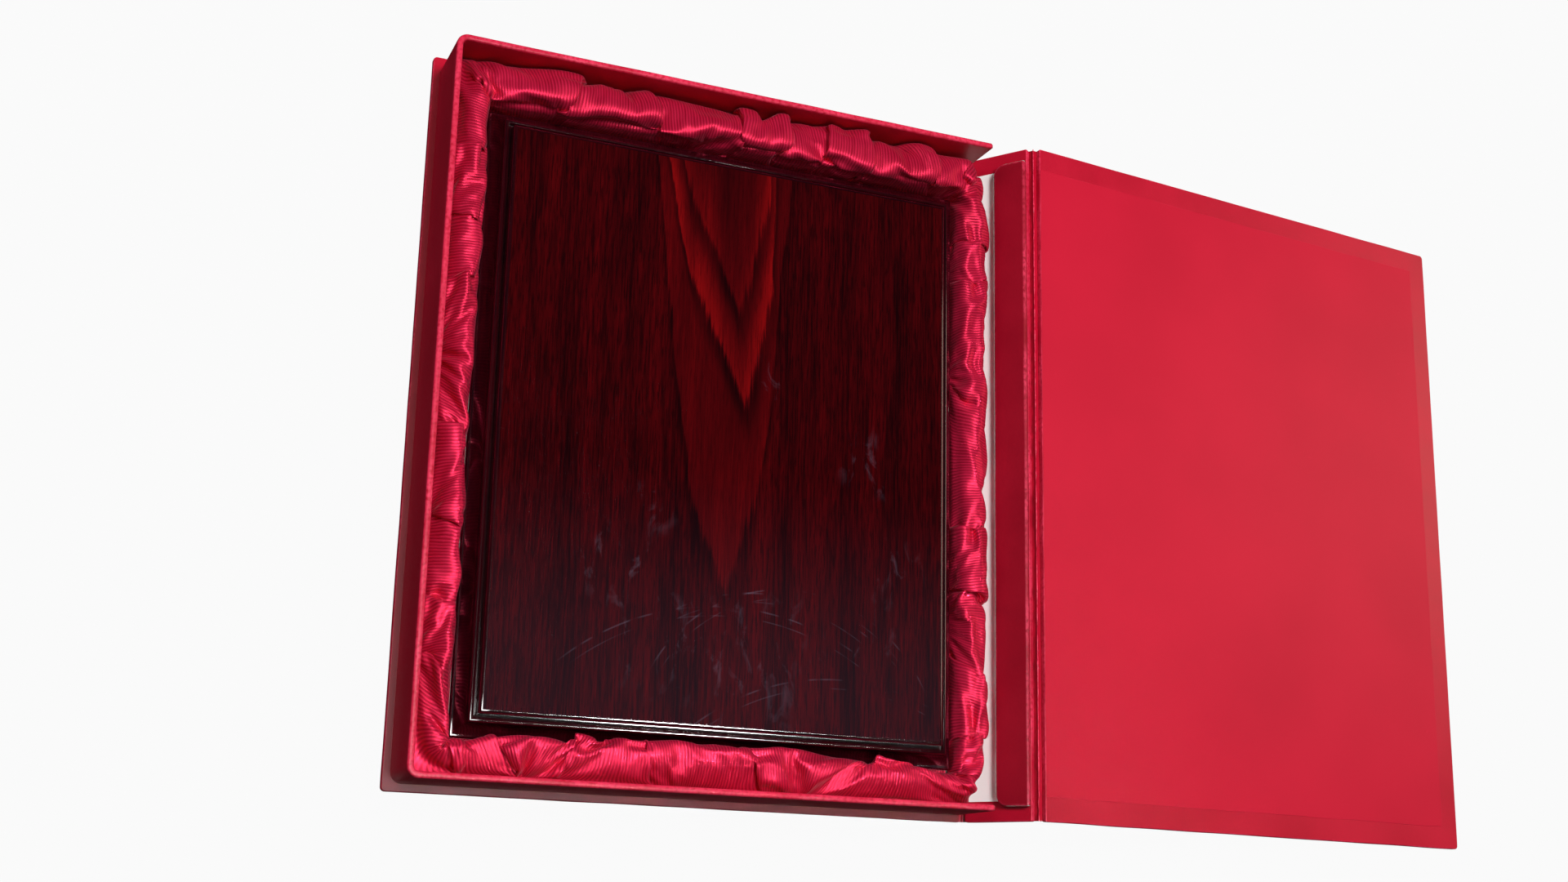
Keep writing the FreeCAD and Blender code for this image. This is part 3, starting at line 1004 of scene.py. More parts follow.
    def build(self) -> None:
        """Makes, dresses and places every board and paper."""
        hinges, cover = self.hinges, self.finishes["cover"]
        base = self.flat_board(0.0, np.copy, seed=11).piece("base_cover", cover)
        settle(base, "tray", "base_cover_paper")
        lid = self.flat_board(self.lid_in, hinges.on_lid, seed=12).piece("lid_cover", cover)
        settle(lid, "lid", "lid_cover_paper")
        spine = self.upright(self.spine_low, self.spine_high, self.half_y, self.spine_in, self.thickness,
                             (self.hinge_corner,) * 4, self.edge, seed=13).piece("spine_cover", cover)
        settle(spine, "spine", "spine_cover_paper")
        radii = (self.lip_corner, self.lip_corner, self.lip_top_corner, self.lip_top_corner)
        lip = self.upright(self.lip_low, self.lip_high, self.lip_half, self.spine_in - self.lip_thickness,
                           self.lip_thickness - self.lip_glue, radii, self.lip_edge, seed=14)
        settle(lip.piece("lip_cover", self.finishes["lip"]), "spine", "spine_lip_wrap")
        lining = self.upright(self.spine_low + self.lining_gap, self.lip_low + self.lining_lap,
                              self.half_y - self.turn_in, self.spine_in - self.lining_proud,
                              self.lining_thickness, (self.lining_corner,) * 4, self.lining_edge, seed=15)
        lining = lining.piece("spine_white_lining", self.finishes["white"])
        settle(lining, "spine", "spine_lining")
        liner = self.lid_sheet(seed=16).piece("lid_liner_sheet", self.finishes["liner"])
        settle(liner, "lid", "lid_liner")
        self.creases(cover)

    def creases(self, cover: bpy.types.Material) -> None:
        """Makes the two creases, each in place between the bodies that it joins."""
        hinges = self.hinges
        foot = np.array([hinges.axis_x, hinges.base_z])
        up, down = 90.0 - hinges.lean, 180.0 - hinges.lean - hinges.fold
        for name, node, bodies, pivot, before, after, seed in (
                ("base_crease_paper", "base_crease", ("tray", "spine"), foot, 0.0, up, 21),
                ("lid_crease_paper", "lid_crease", ("spine", "lid"), hinges.ridge(), up, down, 23)):
            strip = self.crease(pivot, before, after, seed).piece(name, cover)
            first, second = math.radians(before), math.radians(after)
            start = (pivot - self.crease_bend * np.array([math.cos(first), math.sin(first)])) * MM
            end = (pivot + self.crease_bend * np.array([math.cos(second), math.sin(second)])) * MM
            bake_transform(strip)
            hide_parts(node)
            LOG.info("%s bends between %s and %s", name, *bodies)


@dataclass
class Walls:
    """The three fixed walls: one covered strip bent round two corners, with a rolled rim."""

    finishes: dict[str, bpy.types.Material]
    left: float = -143.0
    end: float = 143.25
    half_y: float = 174.0
    low: float = 3.2
    rim: float = 40.0
    thickness: float = 3.1
    corner: float = 5.5
    roll: float = 1.25
    long_points: int = 150
    short_points: int = 130
    corner_points: int = 12
    roll_points: int = 5
    rim_points: int = 7
    face_points: int = 9
    worn_and_lit: float = 1.6
    worn_and_lit_fade: float = 1.4
    worn_and_lit_wave: float = 40.0
    calm_end: float = 20.0
    rim_wave: float = 70.0
    rim_swing: float = 0.13
    belly_wave: float = 50.0
    belly_swing: float = 0.1

    def path(self) -> tuple[np.ndarray, np.ndarray]:
        """The middle line of the wall, from the near end round the left side to the far end.

        Returns:
            Points and outward normals along the line.
        """
        half = self.thickness / 2.0
        radius = self.corner - half
        x0, y0 = self.left + half, self.half_y - half
        last = self.end - self.roll
        run_x = np.linspace(last, x0 + radius, self.short_points)
        run_y = np.linspace(-y0 + radius, y0 - radius, self.long_points)
        angle = np.radians(np.linspace(270.0, 180.0, self.corner_points))[1:-1]
        near = np.stack([run_x, np.full_like(run_x, -y0)], axis=-1)
        near_turn = np.stack([x0 + radius + radius * np.cos(angle), -y0 + radius + radius * np.sin(angle)],
                             axis=-1)
        side = np.stack([np.full_like(run_y, x0), run_y], axis=-1)
        far_turn = np.stack([near_turn[::-1, 0], -near_turn[::-1, 1]], axis=-1)
        far = np.stack([run_x[::-1], np.full_like(run_x, y0)], axis=-1)
        ray = np.stack([np.cos(angle), np.sin(angle)], axis=-1)
        rays = [np.tile([0.0, -1.0], (len(near), 1)), ray, np.tile([-1.0, 0.0], (len(side), 1)),
                ray[::-1] * [1.0, -1.0], np.tile([0.0, 1.0], (len(far), 1))]
        return np.concatenate([near, near_turn, side, far_turn, far]), np.concatenate(rays)

    def build(self) -> None:
        """Carries the wall's section along the line; both ends are rolled over by a shrinking section."""
        line, rays = self.path()
        half, roll, rolls = self.thickness / 2.0, self.roll, self.roll_points
        angle = np.linspace(0.0, math.pi / 2.0, self.rim_points)
        arc = np.stack([half - roll + roll * np.cos(angle), self.rim - roll + roll * np.sin(angle)], axis=-1)
        heights = np.linspace(self.low, self.rim - roll, self.face_points)[:-1]
        side = np.stack([np.full_like(heights, half), heights], axis=-1)
        right = np.concatenate([side, arc])
        section = np.concatenate([right, right[::-1] * [-1.0, 1.0]])
        curl = np.linspace(math.pi / 2.0, 0.0, rolls + 1)[:-1]
        lead = np.array([1.0, 0.0])
        ends = line[0] + lead * (roll * np.sin(curl))[:, None]
        tails = line[-1] + lead * (roll * np.sin(curl[::-1]))[:, None]
        line = np.concatenate([ends, line, tails])
        rays = np.concatenate([np.repeat(rays[:1], rolls, 0), rays, np.repeat(rays[-1:], rolls, 0)])
        shrink = np.zeros(len(line))
        shrink[:rolls] = roll * (1.0 - np.cos(curl))
        shrink[-rolls:] = shrink[:rolls][::-1]
        run = steps_along(line)
        offset = section[None, :, 0] - np.sign(section[None, :, 0]) * shrink[:, None]
        share = (section[None, :, 1] - self.low) / (self.rim - self.low)
        height = section[None, :, 1] - shrink[:, None] * share
        calm = np.clip(np.minimum(run, run[-1] - run) / self.calm_end, 0.0, 1.0)
        height = height + (self.rim_swing * ripple(run, self.rim_wave, seed=31) * calm)[:, None] * share
        belly = np.sin(math.pi * np.clip(share, 0.0, 1.0))
        swing = self.belly_swing * ripple(run, self.belly_wave, seed=32) * calm
        offset = offset + swing[:, None] * belly
        flat = line[:, None] + rays[:, None] * offset[..., None]
        points = np.concatenate([flat, height[..., None]], axis=-1)
        # Edge mark towards the rolled rim: wear and a painted highlight along the rim.
        wear = np.clip((height - self.rim + self.worn_and_lit) / self.worn_and_lit_fade, 0.0, 1.0)
        wear = wear * (0.75 + 0.25 * ripple(run, self.worn_and_lit_wave, seed=33))[:, None]
        made = Surface()
        index = made.grid(points, ring=True, wear=np.clip(wear, 0.0, 1.0))
        made.cap(index[0])
        made.cap(index[-1, ::-1])
        settle(made.piece("wall_cover", self.finishes["cover"]), "tray", "tray_wall_wrap")


@dataclass
class Plaque:
    """The wooden plaque: a mitred moulding of cove, bead, groove and shoulder round a veneered face."""

    finishes: dict[str, bpy.types.Material]
    centre: Point = PLAQUE_CENTRE
    half: Point = (125.0, 150.0)
    base: float = 16.0
    thickness: float = 18.0
    border: float = 12.0
    veneer: float = 0.6
    edge: float = 4.0
    toe: float = 1.4
    cove_width: float = 5.2
    cove_rise: float = 9.4
    cove_sag: float = 1.5
    bead_width: float = 2.2
    bead_rise: float = 0.9
    groove_width: float = 1.4
    groove_depth: float = 1.1
    groove_lead: float = 0.3
    foot: float = 0.5
    foot_round: float = 0.3
    foot_lead: float = 1.0
    lead: float = 0.2
    soft: float = 0.03
    slit: float = 0.02
    face_corner: float = 0.25
    face_edge: float = 0.08
    side_points: int = 40
    edge_points: int = 4
    toe_points: int = 8
    cove_points: int = 18
    bead_points: int = 14
    grain_apart: Point = (700.0, 37.0)

    @staticmethod
    def arc(start: Sequence[float], middle: Sequence[float], end: Sequence[float], count: int) -> np.ndarray:
        """Points on the circle through three points.

        Args:
            start, middle, end: the three points.
            count: how many points.

        Returns:
            Pairs of inset and height.
        """
        a, b, c = (np.array(p, float) for p in (start, middle, end))
        rows = 2.0 * np.stack([b - a, c - a])
        centre = np.linalg.solve(rows, np.array([b @ b - a @ a, c @ c - a @ a]))
        angles = np.unwrap([math.atan2(*(p - centre)[::-1]) for p in (a, b, c)])
        sweep = np.linspace(angles[0], angles[2], count)
        radius = np.linalg.norm(a - centre)
        return centre + radius * np.stack([np.cos(sweep), np.sin(sweep)], axis=-1)

    def section(self) -> np.ndarray:
        """The moulding from its foot to the rim of the face, as pairs of inset and height."""
        toe_end = (self.toe, self.edge + self.toe)
        bead_x, bead_z = self.toe + self.cove_width, self.edge + self.cove_rise
        groove_x, groove_z = bead_x + self.bead_width, bead_z - self.groove_depth
        shoulder_x = groove_x + self.groove_width
        drop = self.border - shoulder_x
        chord = math.hypot(self.cove_width, bead_z - toe_end[1])
        sag = ((bead_z - toe_end[1]) / chord * self.cove_sag, -self.cove_width / chord * self.cove_sag)
        q = math.sqrt(0.5)
        soft, slit = self.soft, self.slit
        groove = np.array([[groove_x + slit, bead_z - self.groove_lead],
                           [groove_x + slit, groove_z + soft],
                           [groove_x + soft, groove_z], [shoulder_x - soft, groove_z],
                           [shoulder_x - slit, groove_z + soft],
                           [shoulder_x - slit, self.thickness - drop - self.lead]])
        return np.concatenate([
            np.array([[self.foot, 0.0], [self.foot_round * self.foot] * 2, [0.0, self.foot]]),
            np.linspace((0.0, self.foot_lead), (0.0, self.edge - self.lead), self.edge_points),
            self.arc((0.0, self.edge), (self.toe * (1.0 - q), self.edge + self.toe * q), toe_end,
                     self.toe_points),
            self.arc(toe_end,
                     (self.toe + self.cove_width / 2.0 + sag[0], (toe_end[1] + bead_z) / 2.0 + sag[1]),
                     (bead_x, bead_z), self.cove_points)[1:],
            self.arc((bead_x, bead_z), (bead_x + self.bead_width / 2.0, bead_z + self.bead_rise),
                     (groove_x, bead_z), self.bead_points)[1:],
            groove,
            self.arc((shoulder_x, self.thickness - drop),
                     (shoulder_x + drop * (1.0 - q), self.thickness - drop + drop * q),
                     (self.border, self.thickness), self.bead_points),
        ])

    def build(self) -> None:
        """Carries the moulding's section round the plaque with mitred corners, then lays the face in it."""
        section = self.section()
        low = np.array([[self.border, self.thickness - self.veneer]])
        section = np.concatenate([section, low])
        share = np.linspace(-1.0, 1.0, self.side_points + 1)[:-1]
        ones = np.ones_like(share)
        unit = np.concatenate([np.stack([share, -ones], -1), np.stack([ones, share], -1),
                               np.stack([-share, ones], -1), np.stack([-ones, -share], -1)])
        half = np.array(self.half)
        flat = unit[None] * (half - section[:, None, :1]) + np.array(self.centre)
        height = np.broadcast_to(self.base + section[:, None, 1], flat.shape[:2])
        points = np.concatenate([flat, height[..., None]], axis=-1)
        side = np.repeat(np.arange(4), len(share))
        along = np.where(side % 2 == 0, unit[:, 0] * half[0], unit[:, 1] * half[1])
        along = along + side * self.grain_apart[0]
        over = steps_along(section)[:, None] + side[None] * self.grain_apart[1]
        grain = np.stack(np.broadcast_arrays(along[None], over), axis=-1)
        made = Surface()
        index = made.grid(points, ring=True, grain=grain)
        made.cap(index[0, ::-1])
        made.cap(index[-1])
        moulding = made.piece("plaque_moulding", self.finishes["edge"], crease=30.0)
        settle(moulding, "plaque", "plaque_core")
        centre, inner = np.array(self.centre), half - self.border - self.slit
        loop, rays = rounded_loop(centre - inner, centre + inner, (self.face_corner,) * 4, step=6.0, turns=3)
        low = self.base + self.thickness - self.veneer
        face = slab(loop, rays, low, self.veneer, self.face_edge, np.copy, seed=41, wobble=0.0)
        settle(face.piece("plaque_face", self.finishes["face"]), "plaque", "plaque_veneer")


class Side(Enum):
    """A side of the tray."""

    NEAR = "near"
    LEFT = "left"
    FAR = "far"
    HINGE = "hinge"


NEAR, LEFT, FAR, HINGE = Side


@dataclass(frozen=True)
class Pleat:
    """A knife pleat: along a line across the ring the cloth doubles back under itself.

    Its slant is how much further along the ring its outer end lies, and its way says whether the cloth before
    it (1) or after it (-1) lies on top. The hook is the loop that it throws up at the crest.
    """

    side: Side
    place: float
    slant: float
    depth: float
    lift: float
    hook: float
    way: int = 1


@dataclass(frozen=True)
class Fold:
    """A broad soft fold along a line of points, each with its side, place and share across the ring."""

    line: tuple[tuple[Side, float, float], ...]
    height: float
    width: float


@dataclass(frozen=True)
class Section:
    """The cloth's shape at one place: shares of the gap from the plaque outwards, each with a height."""

    side: Side
    place: float
    shape: tuple[Point, ...]


@dataclass(frozen=True)
class Bulge:
    """A place on the hinge side where the cloth swells out of the tray."""

    y: float
    reach: float
    size: float


@dataclass(frozen=True)
class Relaxing:
    """One round of relaxing, and how far filling and weight push in each of its steps."""

    steps: int
    filling: float
    weight: float


@dataclass(frozen=True)
class Cut:
    """A length of the ring as a piece: its bodies, where it bends between them in metres, and its sides."""

    name: str
    bodies: tuple[str, str]
    start: tuple[float, float, float]
    end: tuple[float, float, float]
    sides: tuple[str, ...]


@dataclass
class ClothRun:
    """A sheet of cloth that relaxes from a laid shape into natural folds.

    Threads along and across keep their flat lengths. Diagonals resist shear, longer skips resist sharp bends,
    and the limits hold the cloth in its room.
    """

    points: np.ndarray
    along: float
    across: np.ndarray
    limits: Callable[[np.ndarray], np.ndarray]
    forces: Relaxing
    stretch_give: float = 0.9
    shear_give: float = 0.08
    bend_give: float = 0.012
    bend_skip: int = 2
    bend_slack: float = 0.86
    pace_kept: float = 0.86
    passes: int = 3

    def __post_init__(self) -> None:
        """Fixes the sheet's four edges."""
        self.free = np.ones(self.points.shape[:2])
        self.free[:, 0] = self.free[:, -1] = self.free[0] = self.free[-1] = 0.0

    def thread(self, first: tuple, second: tuple, length: Union[float, np.ndarray], give: float,
               push_only: bool = False) -> None:
        """Moves both ends of each thread towards its length.

        Args:
            first, second: slices that pick the two ends.
            length: flat lengths.
            give: share of the error that is put right.
            push_only: whether only threads that are too short act.
        """
        gap = self.points[second] - self.points[first]
        size = np.maximum(np.linalg.norm(gap, axis=-1), TINY)
        error = size - length
        if push_only:
            error = np.minimum(error, 0.0)
        first_free, second_free = self.free[first], self.free[second]
        share = error / size * give / np.maximum(first_free + second_free, TINY)
        self.points[first] += gap * (share * first_free)[..., None]
        self.points[second] -= gap * (share * second_free)[..., None]

    def project(self) -> None:
        """One pass over all threads, in sets that share no point."""
        every = slice(None)
        columns, rows = self.points.shape[:2]
        for start in (0, 1):
            even = 2 * ((columns - start) // 2) + start
            first, second = slice(start, even, 2), slice(start + 1, even, 2)
            self.thread((first, every), (second, every), self.along, self.stretch_give)
            slope = np.hypot(self.along, self.across[first])[:, None]
            self.thread((first, slice(0, -1)), (second, slice(1, None)), slope, self.shear_give)
            self.thread((first, slice(1, None)), (second, slice(0, -1)), slope, self.shear_give)
            even = 2 * ((rows - start) // 2) + start
            first, second = slice(start, even, 2), slice(start + 1, even, 2)
            self.thread((every, first), (every, second), self.across[:, None], self.stretch_give)
        skip, slack = self.bend_skip, self.bend_slack * self.bend_skip
        for start in range(2 * skip):
            second = slice(start + skip, None, 2 * skip)
            count = len(range(start + skip, columns, 2 * skip))
            first = slice(start, start + 2 * skip * count, 2 * skip)
            self.thread((first, every), (second, every), slack * self.along, self.bend_give, True)
            count = len(range(start + skip, rows, 2 * skip))
            first = slice(start, start + 2 * skip * count, 2 * skip)
            self.thread((every, first), (every, second), slack * self.across[:, None], self.bend_give, True)

    def settle(self) -> np.ndarray:
        """Steps the cloth towards rest.

        Returns:
            The relaxed points.
        """
        before = self.points.copy()
        free = self.free[..., None]
        for _ in range(self.forces.steps):
            move = (self.points - before) * self.pace_kept
            before = self.points.copy()
            self.points += free * (move + self.forces.filling * outward(self.points))
            self.points[..., 2] -= self.free * self.forces.weight
            for _ in range(self.passes):
                self.project()
                self.points = np.where(free > 0.0, self.limits(self.points), self.points)
        return self.points


def finer(values: np.ndarray) -> np.ndarray:
    """Doubles a grid along both axes: each new point lies between its neighbours on a cubic."""
    for axis in (0, 1):
        moved = np.moveaxis(values, axis, 0)
        padded = np.concatenate([2.0 * moved[:1] - moved[1:2], moved, 2.0 * moved[-1:] - moved[-2:-1]])
        middle = (9.0 * (padded[1:-2] + padded[2:-1]) - padded[:-3] - padded[3:]) / 16.0
        made = np.empty((2 * len(moved) - 1, *moved.shape[1:]))
        made[0::2], made[1::2] = moved, middle
        values = np.moveaxis(made, 0, axis)
    return values


def outward(points: np.ndarray) -> np.ndarray:
    """Unit normals of a grid, turned to point upwards on the whole."""
    normal = np.cross(np.gradient(points, axis=0), np.gradient(points, axis=1))
    normal /= np.maximum(np.linalg.norm(normal, axis=-1, keepdims=True), TINY)
    return normal * np.sign(normal[..., 2].mean())


def step_up(share: np.ndarray) -> np.ndarray:
    """A smooth step from 0 to 1 while the share goes from 0 to 1."""
    share = np.clip(share, 0.0, 1.0)
    return share * share * (3.0 - 2.0 * share)


def softened(line: np.ndarray, reach: int) -> np.ndarray:
    """A row of points or numbers after a running mean over reach neighbours each way, its ends held."""
    window = np.ones(2 * reach + 1) / (2 * reach + 1)
    flat = line.reshape(len(line), -1)
    padded = np.concatenate([np.repeat(flat[:1], reach, 0), flat, np.repeat(flat[-1:], reach, 0)])
    made = np.stack([np.convolve(column, window, "valid") for column in padded.T], axis=-1)
    return made.reshape(line.shape)


@dataclass(frozen=True)
class Leg:
    """A straight stretch of the gap: its ends at the plaque, the way out to the wall and the gap's width."""

    side: Side
    start: Point
    end: Point
    out: Point
    gap: float


@dataclass
class RingPath:
    """The gap round the plaque, from a seam at the near left corner by all four sides back to it.

    On a straight leg the cloth's edges run side by side. At a corner the inner edge stays, and the outer one
    swings round on a curve between a circle and a square.
    """

    legs: tuple[Leg, ...]
    squareness: float = 9.0
    corner_points: int = 26
    inner_share: float = 0.2

    def __post_init__(self) -> None:
        """Lays out both edges and measures the way along them, mostly along the outer one."""
        inner, outer, self.ends = [], [], []
        for index, leg in enumerate(self.legs):
            start, end, out = (np.array(value) for value in (leg.start, leg.end, leg.out))
            share = np.linspace(0.0, 1.0, int(np.linalg.norm(end - start)))[:, None]
            first = sum(map(len, inner))
            inner.append(start + (end - start) * share)
            outer.append(inner[-1] + leg.gap * out)
            self.ends.append((first, first + len(share) - 1))
            if index + 1 < len(self.legs):
                after = self.legs[index + 1]
                angle = np.linspace(0.0, math.pi / 2.0, self.corner_points)[1:-1, None]
                reach = ((np.cos(angle) / leg.gap) ** self.squareness
                         + (np.sin(angle) / after.gap) ** self.squareness) ** (-1.0 / self.squareness)
                inner.append(np.repeat(end[None], len(angle), 0))
                outer.append(end + reach * (out * np.cos(angle) + np.array(after.out) * np.sin(angle)))
        self.edges = [np.concatenate(inner), np.concatenate(outer)]
        short, long = (steps_along(edge) for edge in self.edges)
        self.run = self.inner_share * short + (1.0 - self.inner_share) * long
        self.length = float(self.run[-1])
        self.gap = np.linalg.norm(self.edges[1] - self.edges[0], axis=1)

    def place(self, side: Side, where: float) -> float:
        """Distance along the ring of a place on one side.

        Args:
            side: the side.
            where: x on the near and far sides, y on the others.

        Returns:
            The distance from the seam, in mm.
        """
        axis = 0 if side in (NEAR, FAR) else 1

        def outside(option: tuple[Leg, tuple[int, int]]) -> float:
            """How far the place lies past the ends of a leg; negative between them."""
            first, last = option[0].start[axis], option[0].end[axis]
            return abs(where - (first + last) / 2.0) - abs(first - last) / 2.0

        options = [(leg, ends) for leg, ends in zip(self.legs, self.ends) if leg.side is side]
        leg, (first, last) = min(options, key=outside)
        share = (where - leg.start[axis]) / (leg.end[axis] - leg.start[axis])
        return float(np.clip(self.run[first] + share * (self.run[last] - self.run[first]), 0.0, self.length))

    def sample(self, line: np.ndarray, where: np.ndarray) -> np.ndarray:
        """A line of points along the ring, read at the given distances."""
        return np.stack([np.interp(where, self.run, line[:, k]) for k in range(line.shape[1])], axis=-1)


HINGE_SHAPE = ((0.0, 17.0), (0.1, 23.0), (0.27, 29.0), (0.62, 32.8), (1.0, 32.0), (1.26, 27.5),
               (1.42, 20.5), (1.34, 12.0), (1.0, 5.0))
NEAR_SHAPE = ((0.0, 17.0), (0.0, 24.0), (-0.04, 29.3), (-0.34, 31.2), (-0.4, 33.4), (-0.12, 35.0),
              (0.28, 33.2), (0.64, 29.4), (1.0, 24.0))
NEAR_END_SHAPE = ((0.0, 17.0), (0.0, 22.5), (0.02, 28.0), (0.08, 32.0), (0.22, 34.0), (0.42, 33.0),
                  (0.62, 30.0), (0.82, 26.5), (1.0, 23.0))
LOW_LEFT_SHAPE = ((0.0, 17.0), (0.0, 23.0), (-0.1, 29.5), (-0.18, 33.0), (0.1, 35.0), (0.42, 34.0),
                  (0.7, 30.5), (0.88, 26.5), (1.0, 23.0))
HIGH_LEFT_SHAPE = ((0.0, 17.0), (0.0, 23.0), (-0.06, 29.0), (-0.1, 32.0), (0.16, 34.6), (0.5, 35.2),
                   (0.76, 32.5), (0.9, 28.0), (1.0, 23.0))
FAR_SHAPE = ((0.0, 17.0), (0.0, 22.5), (-0.1, 28.0), (-0.16, 31.8), (0.02, 35.0), (0.36, 36.4),
             (0.64, 35.2), (0.84, 29.5), (1.0, 21.0))


@dataclass
class SatinLining:
    """The gathered satin round the plaque, the satin under it and the foam pad.

    The nest is the hole that the plaque lies in and the room the space inside the walls. The spine's and the
    end walls' limits are pairs of a height or a distance from the middle, and the largest x that it allows.
    The moulding is pairs of a distance from the plaque's edge and a height.
    """

    finishes: dict[str, bpy.types.Material]
    nest_low: Point = (-123.1, -154.9)
    nest_high: Point = (128.9, 147.1)
    room_low: Point = (-139.5, -170.5)
    room_high: Point = (141.5, 170.0)
    seam: Point = (-116.0, -119.0)
    cut: float = 117.0
    base: float = 3.7
    floor: float = 16.1
    top: float = 38.5
    hinge_top: float = 34.5
    spine_limit: tuple[Point, ...] = ((3.7, 142.2), (8.0, 145.5), (14.0, 150.5), (28.0, 151.5), (34.0, 148.0))
    wall_limit: tuple[Point, ...] = ((150.0, 152.0), (163.0, 142.6))
    lean: tuple[float, float, float, float] = (4.0, 0.4, 8.0, 4.0)
    lean_heights: Point = (29.5, 31.5)
    moulding: tuple[Point, ...] = ((0.0, 20.3), (1.4, 21.6), (4.0, 25.6), (6.6, 29.6), (8.8, 30.5),
                                   (10.2, 32.2), (12.0, 34.0))
    moulding_gap: Point = (1.0, 0.7)
    lap_end: float = 114.0
    lap_fade: float = 16.0
    lap_lift: float = 7.0
    spacing: float = 1.75
    rows: int = 25
    curve_points: int = 240
    curve_soften: int = 14
    fullness: float = 1.05
    ease: float = 1.012
    pleat_step: float = 0.4
    pleat_blur: float = 1.1
    pleat_reach: int = 6
    pleat_rise: float = 2.6
    pleat_run: float = 13.0
    hook_share: float = 0.28
    strip_width: float = 38.0
    fold_rise: float = 1.5
    fold_fade: float = 0.6
    pleat_fade: float = 0.5
    wave_slant: float = 26.0
    slant_wave: float = 90.0
    small_waves: tuple[Point, ...] = ((18.0, 0.5), (40.0, 2.4))
    drift: float = 16.0
    drift_wave: float = 80.0
    puff: float = 0.2
    puff_wave: float = 48.0
    end_run: float = 6.0
    tuck: float = 2.2
    tuck_run: float = 9.0
    bulge_start: float = 136.0
    bulge_run: float = 8.0
    smoothing: int = 8
    pad_low: Point = (-139.6, -170.6)
    pad_high: Point = (140.0, 170.6)
    pad_gap: float = 0.2
    pad_corners: tuple[float, ...] = (2.0, 1.0, 1.0, 2.0)
    pad_base: float = 3.05
    pad_thickness: float = 12.2
    pad_edge: float = 0.6
    under_gap: float = 0.2
    under_points: tuple[int, int] = (64, 76)
    under_height: float = 15.62
    under_wave: float = 0.08
    under_range: Point = (15.35, 15.9)
    rounds: tuple[Relaxing, ...] = (Relaxing(30, 0.006, 0.003), Relaxing(14, 0.003, 0.002))
    cuts: tuple[Cut, ...] = (
        Cut("satin_ring", ("tray", "spine"), (0.129, 0.0, 0.02), (0.152, 0.0, 0.02),
            ("left", "far", "right")),
        Cut("satin_near_strip", ("tray", "plaque"), (0.0, -0.1545, 0.03), (0.0, -0.1485, 0.03), ("near",)),
    )
    sections: tuple[Section, ...] = (
        Section(NEAR, -119.5, NEAR_END_SHAPE), Section(LEFT, -146.0, LOW_LEFT_SHAPE),
        Section(LEFT, -20.0, LOW_LEFT_SHAPE), Section(LEFT, 40.0, HIGH_LEFT_SHAPE),
        Section(LEFT, 140.0, HIGH_LEFT_SHAPE), Section(FAR, -116.0, FAR_SHAPE),
        Section(FAR, 118.0, FAR_SHAPE), Section(HINGE, 126.0, HINGE_SHAPE),
        Section(HINGE, -136.0, HINGE_SHAPE), Section(NEAR, 122.0, NEAR_END_SHAPE),
        Section(NEAR, 98.0, NEAR_SHAPE), Section(NEAR, -98.0, NEAR_SHAPE),
        Section(NEAR, -114.0, NEAR_END_SHAPE),
    )
    pleats: tuple[Pleat, ...] = (
        Pleat(HINGE, -66.0, 16.0, 4.0, 1.2, 0.8), Pleat(HINGE, -108.0, 6.0, 5.0, 1.4, 1.4, -1),
        Pleat(HINGE, -136.0, -4.0, 5.0, 1.4, 1.6),
        Pleat(NEAR, 84.0, -14.0, 3.5, 1.0, 0.4), Pleat(NEAR, 18.0, -8.0, 5.5, 1.2, 1.2),
        Pleat(NEAR, -32.0, 4.0, 5.5, 1.0, 1.0, -1), Pleat(NEAR, -67.0, -8.0, 6.0, 1.4, 1.5),
        Pleat(NEAR, -101.0, -10.0, 5.0, 1.3, 1.0), Pleat(NEAR, -128.0, -12.0, 4.0, 1.3, 1.0),
        Pleat(LEFT, -128.0, 10.0, 4.5, 1.3, 1.2), Pleat(LEFT, -96.0, 16.0, 4.0, 1.2, 1.0),
        Pleat(LEFT, -61.0, 18.0, 4.0, 1.0, 0.6, -1), Pleat(LEFT, -15.0, -6.0, 5.0, 1.2, 0.8),
        Pleat(LEFT, 58.0, -5.0, 6.0, 1.6, 2.0), Pleat(LEFT, 85.0, 10.0, 5.5, 1.5, 1.6, -1),
        Pleat(LEFT, 121.0, -4.0, 6.0, 1.6, 2.0),
        Pleat(FAR, -84.0, 14.0, 5.0, 2.4, 2.9), Pleat(FAR, -40.0, -6.0, 4.0, 1.7, 1.6),
        Pleat(FAR, 4.0, -10.0, 5.0, 2.4, 2.5, -1), Pleat(FAR, 28.0, 10.0, 6.0, 3.1, 4.3),
        Pleat(FAR, 50.0, 8.0, 5.0, 2.4, 3.2, -1), Pleat(FAR, 73.0, -6.0, 6.5, 3.1, 4.7),
        Pleat(FAR, 112.0, 8.0, 5.0, 2.4, 3.2), Pleat(FAR, 130.0, -8.0, 4.0, 2.2, 2.5, -1),
        Pleat(HINGE, 122.0, 8.0, 5.0, 1.4, 1.6), Pleat(HINGE, 103.0, -6.0, 5.0, 1.4, 1.6, -1),
        Pleat(HINGE, 27.0, 19.0, 5.0, 1.4, 1.2), Pleat(HINGE, -32.0, 8.0, 4.0, 1.2, 1.0, -1),
    )
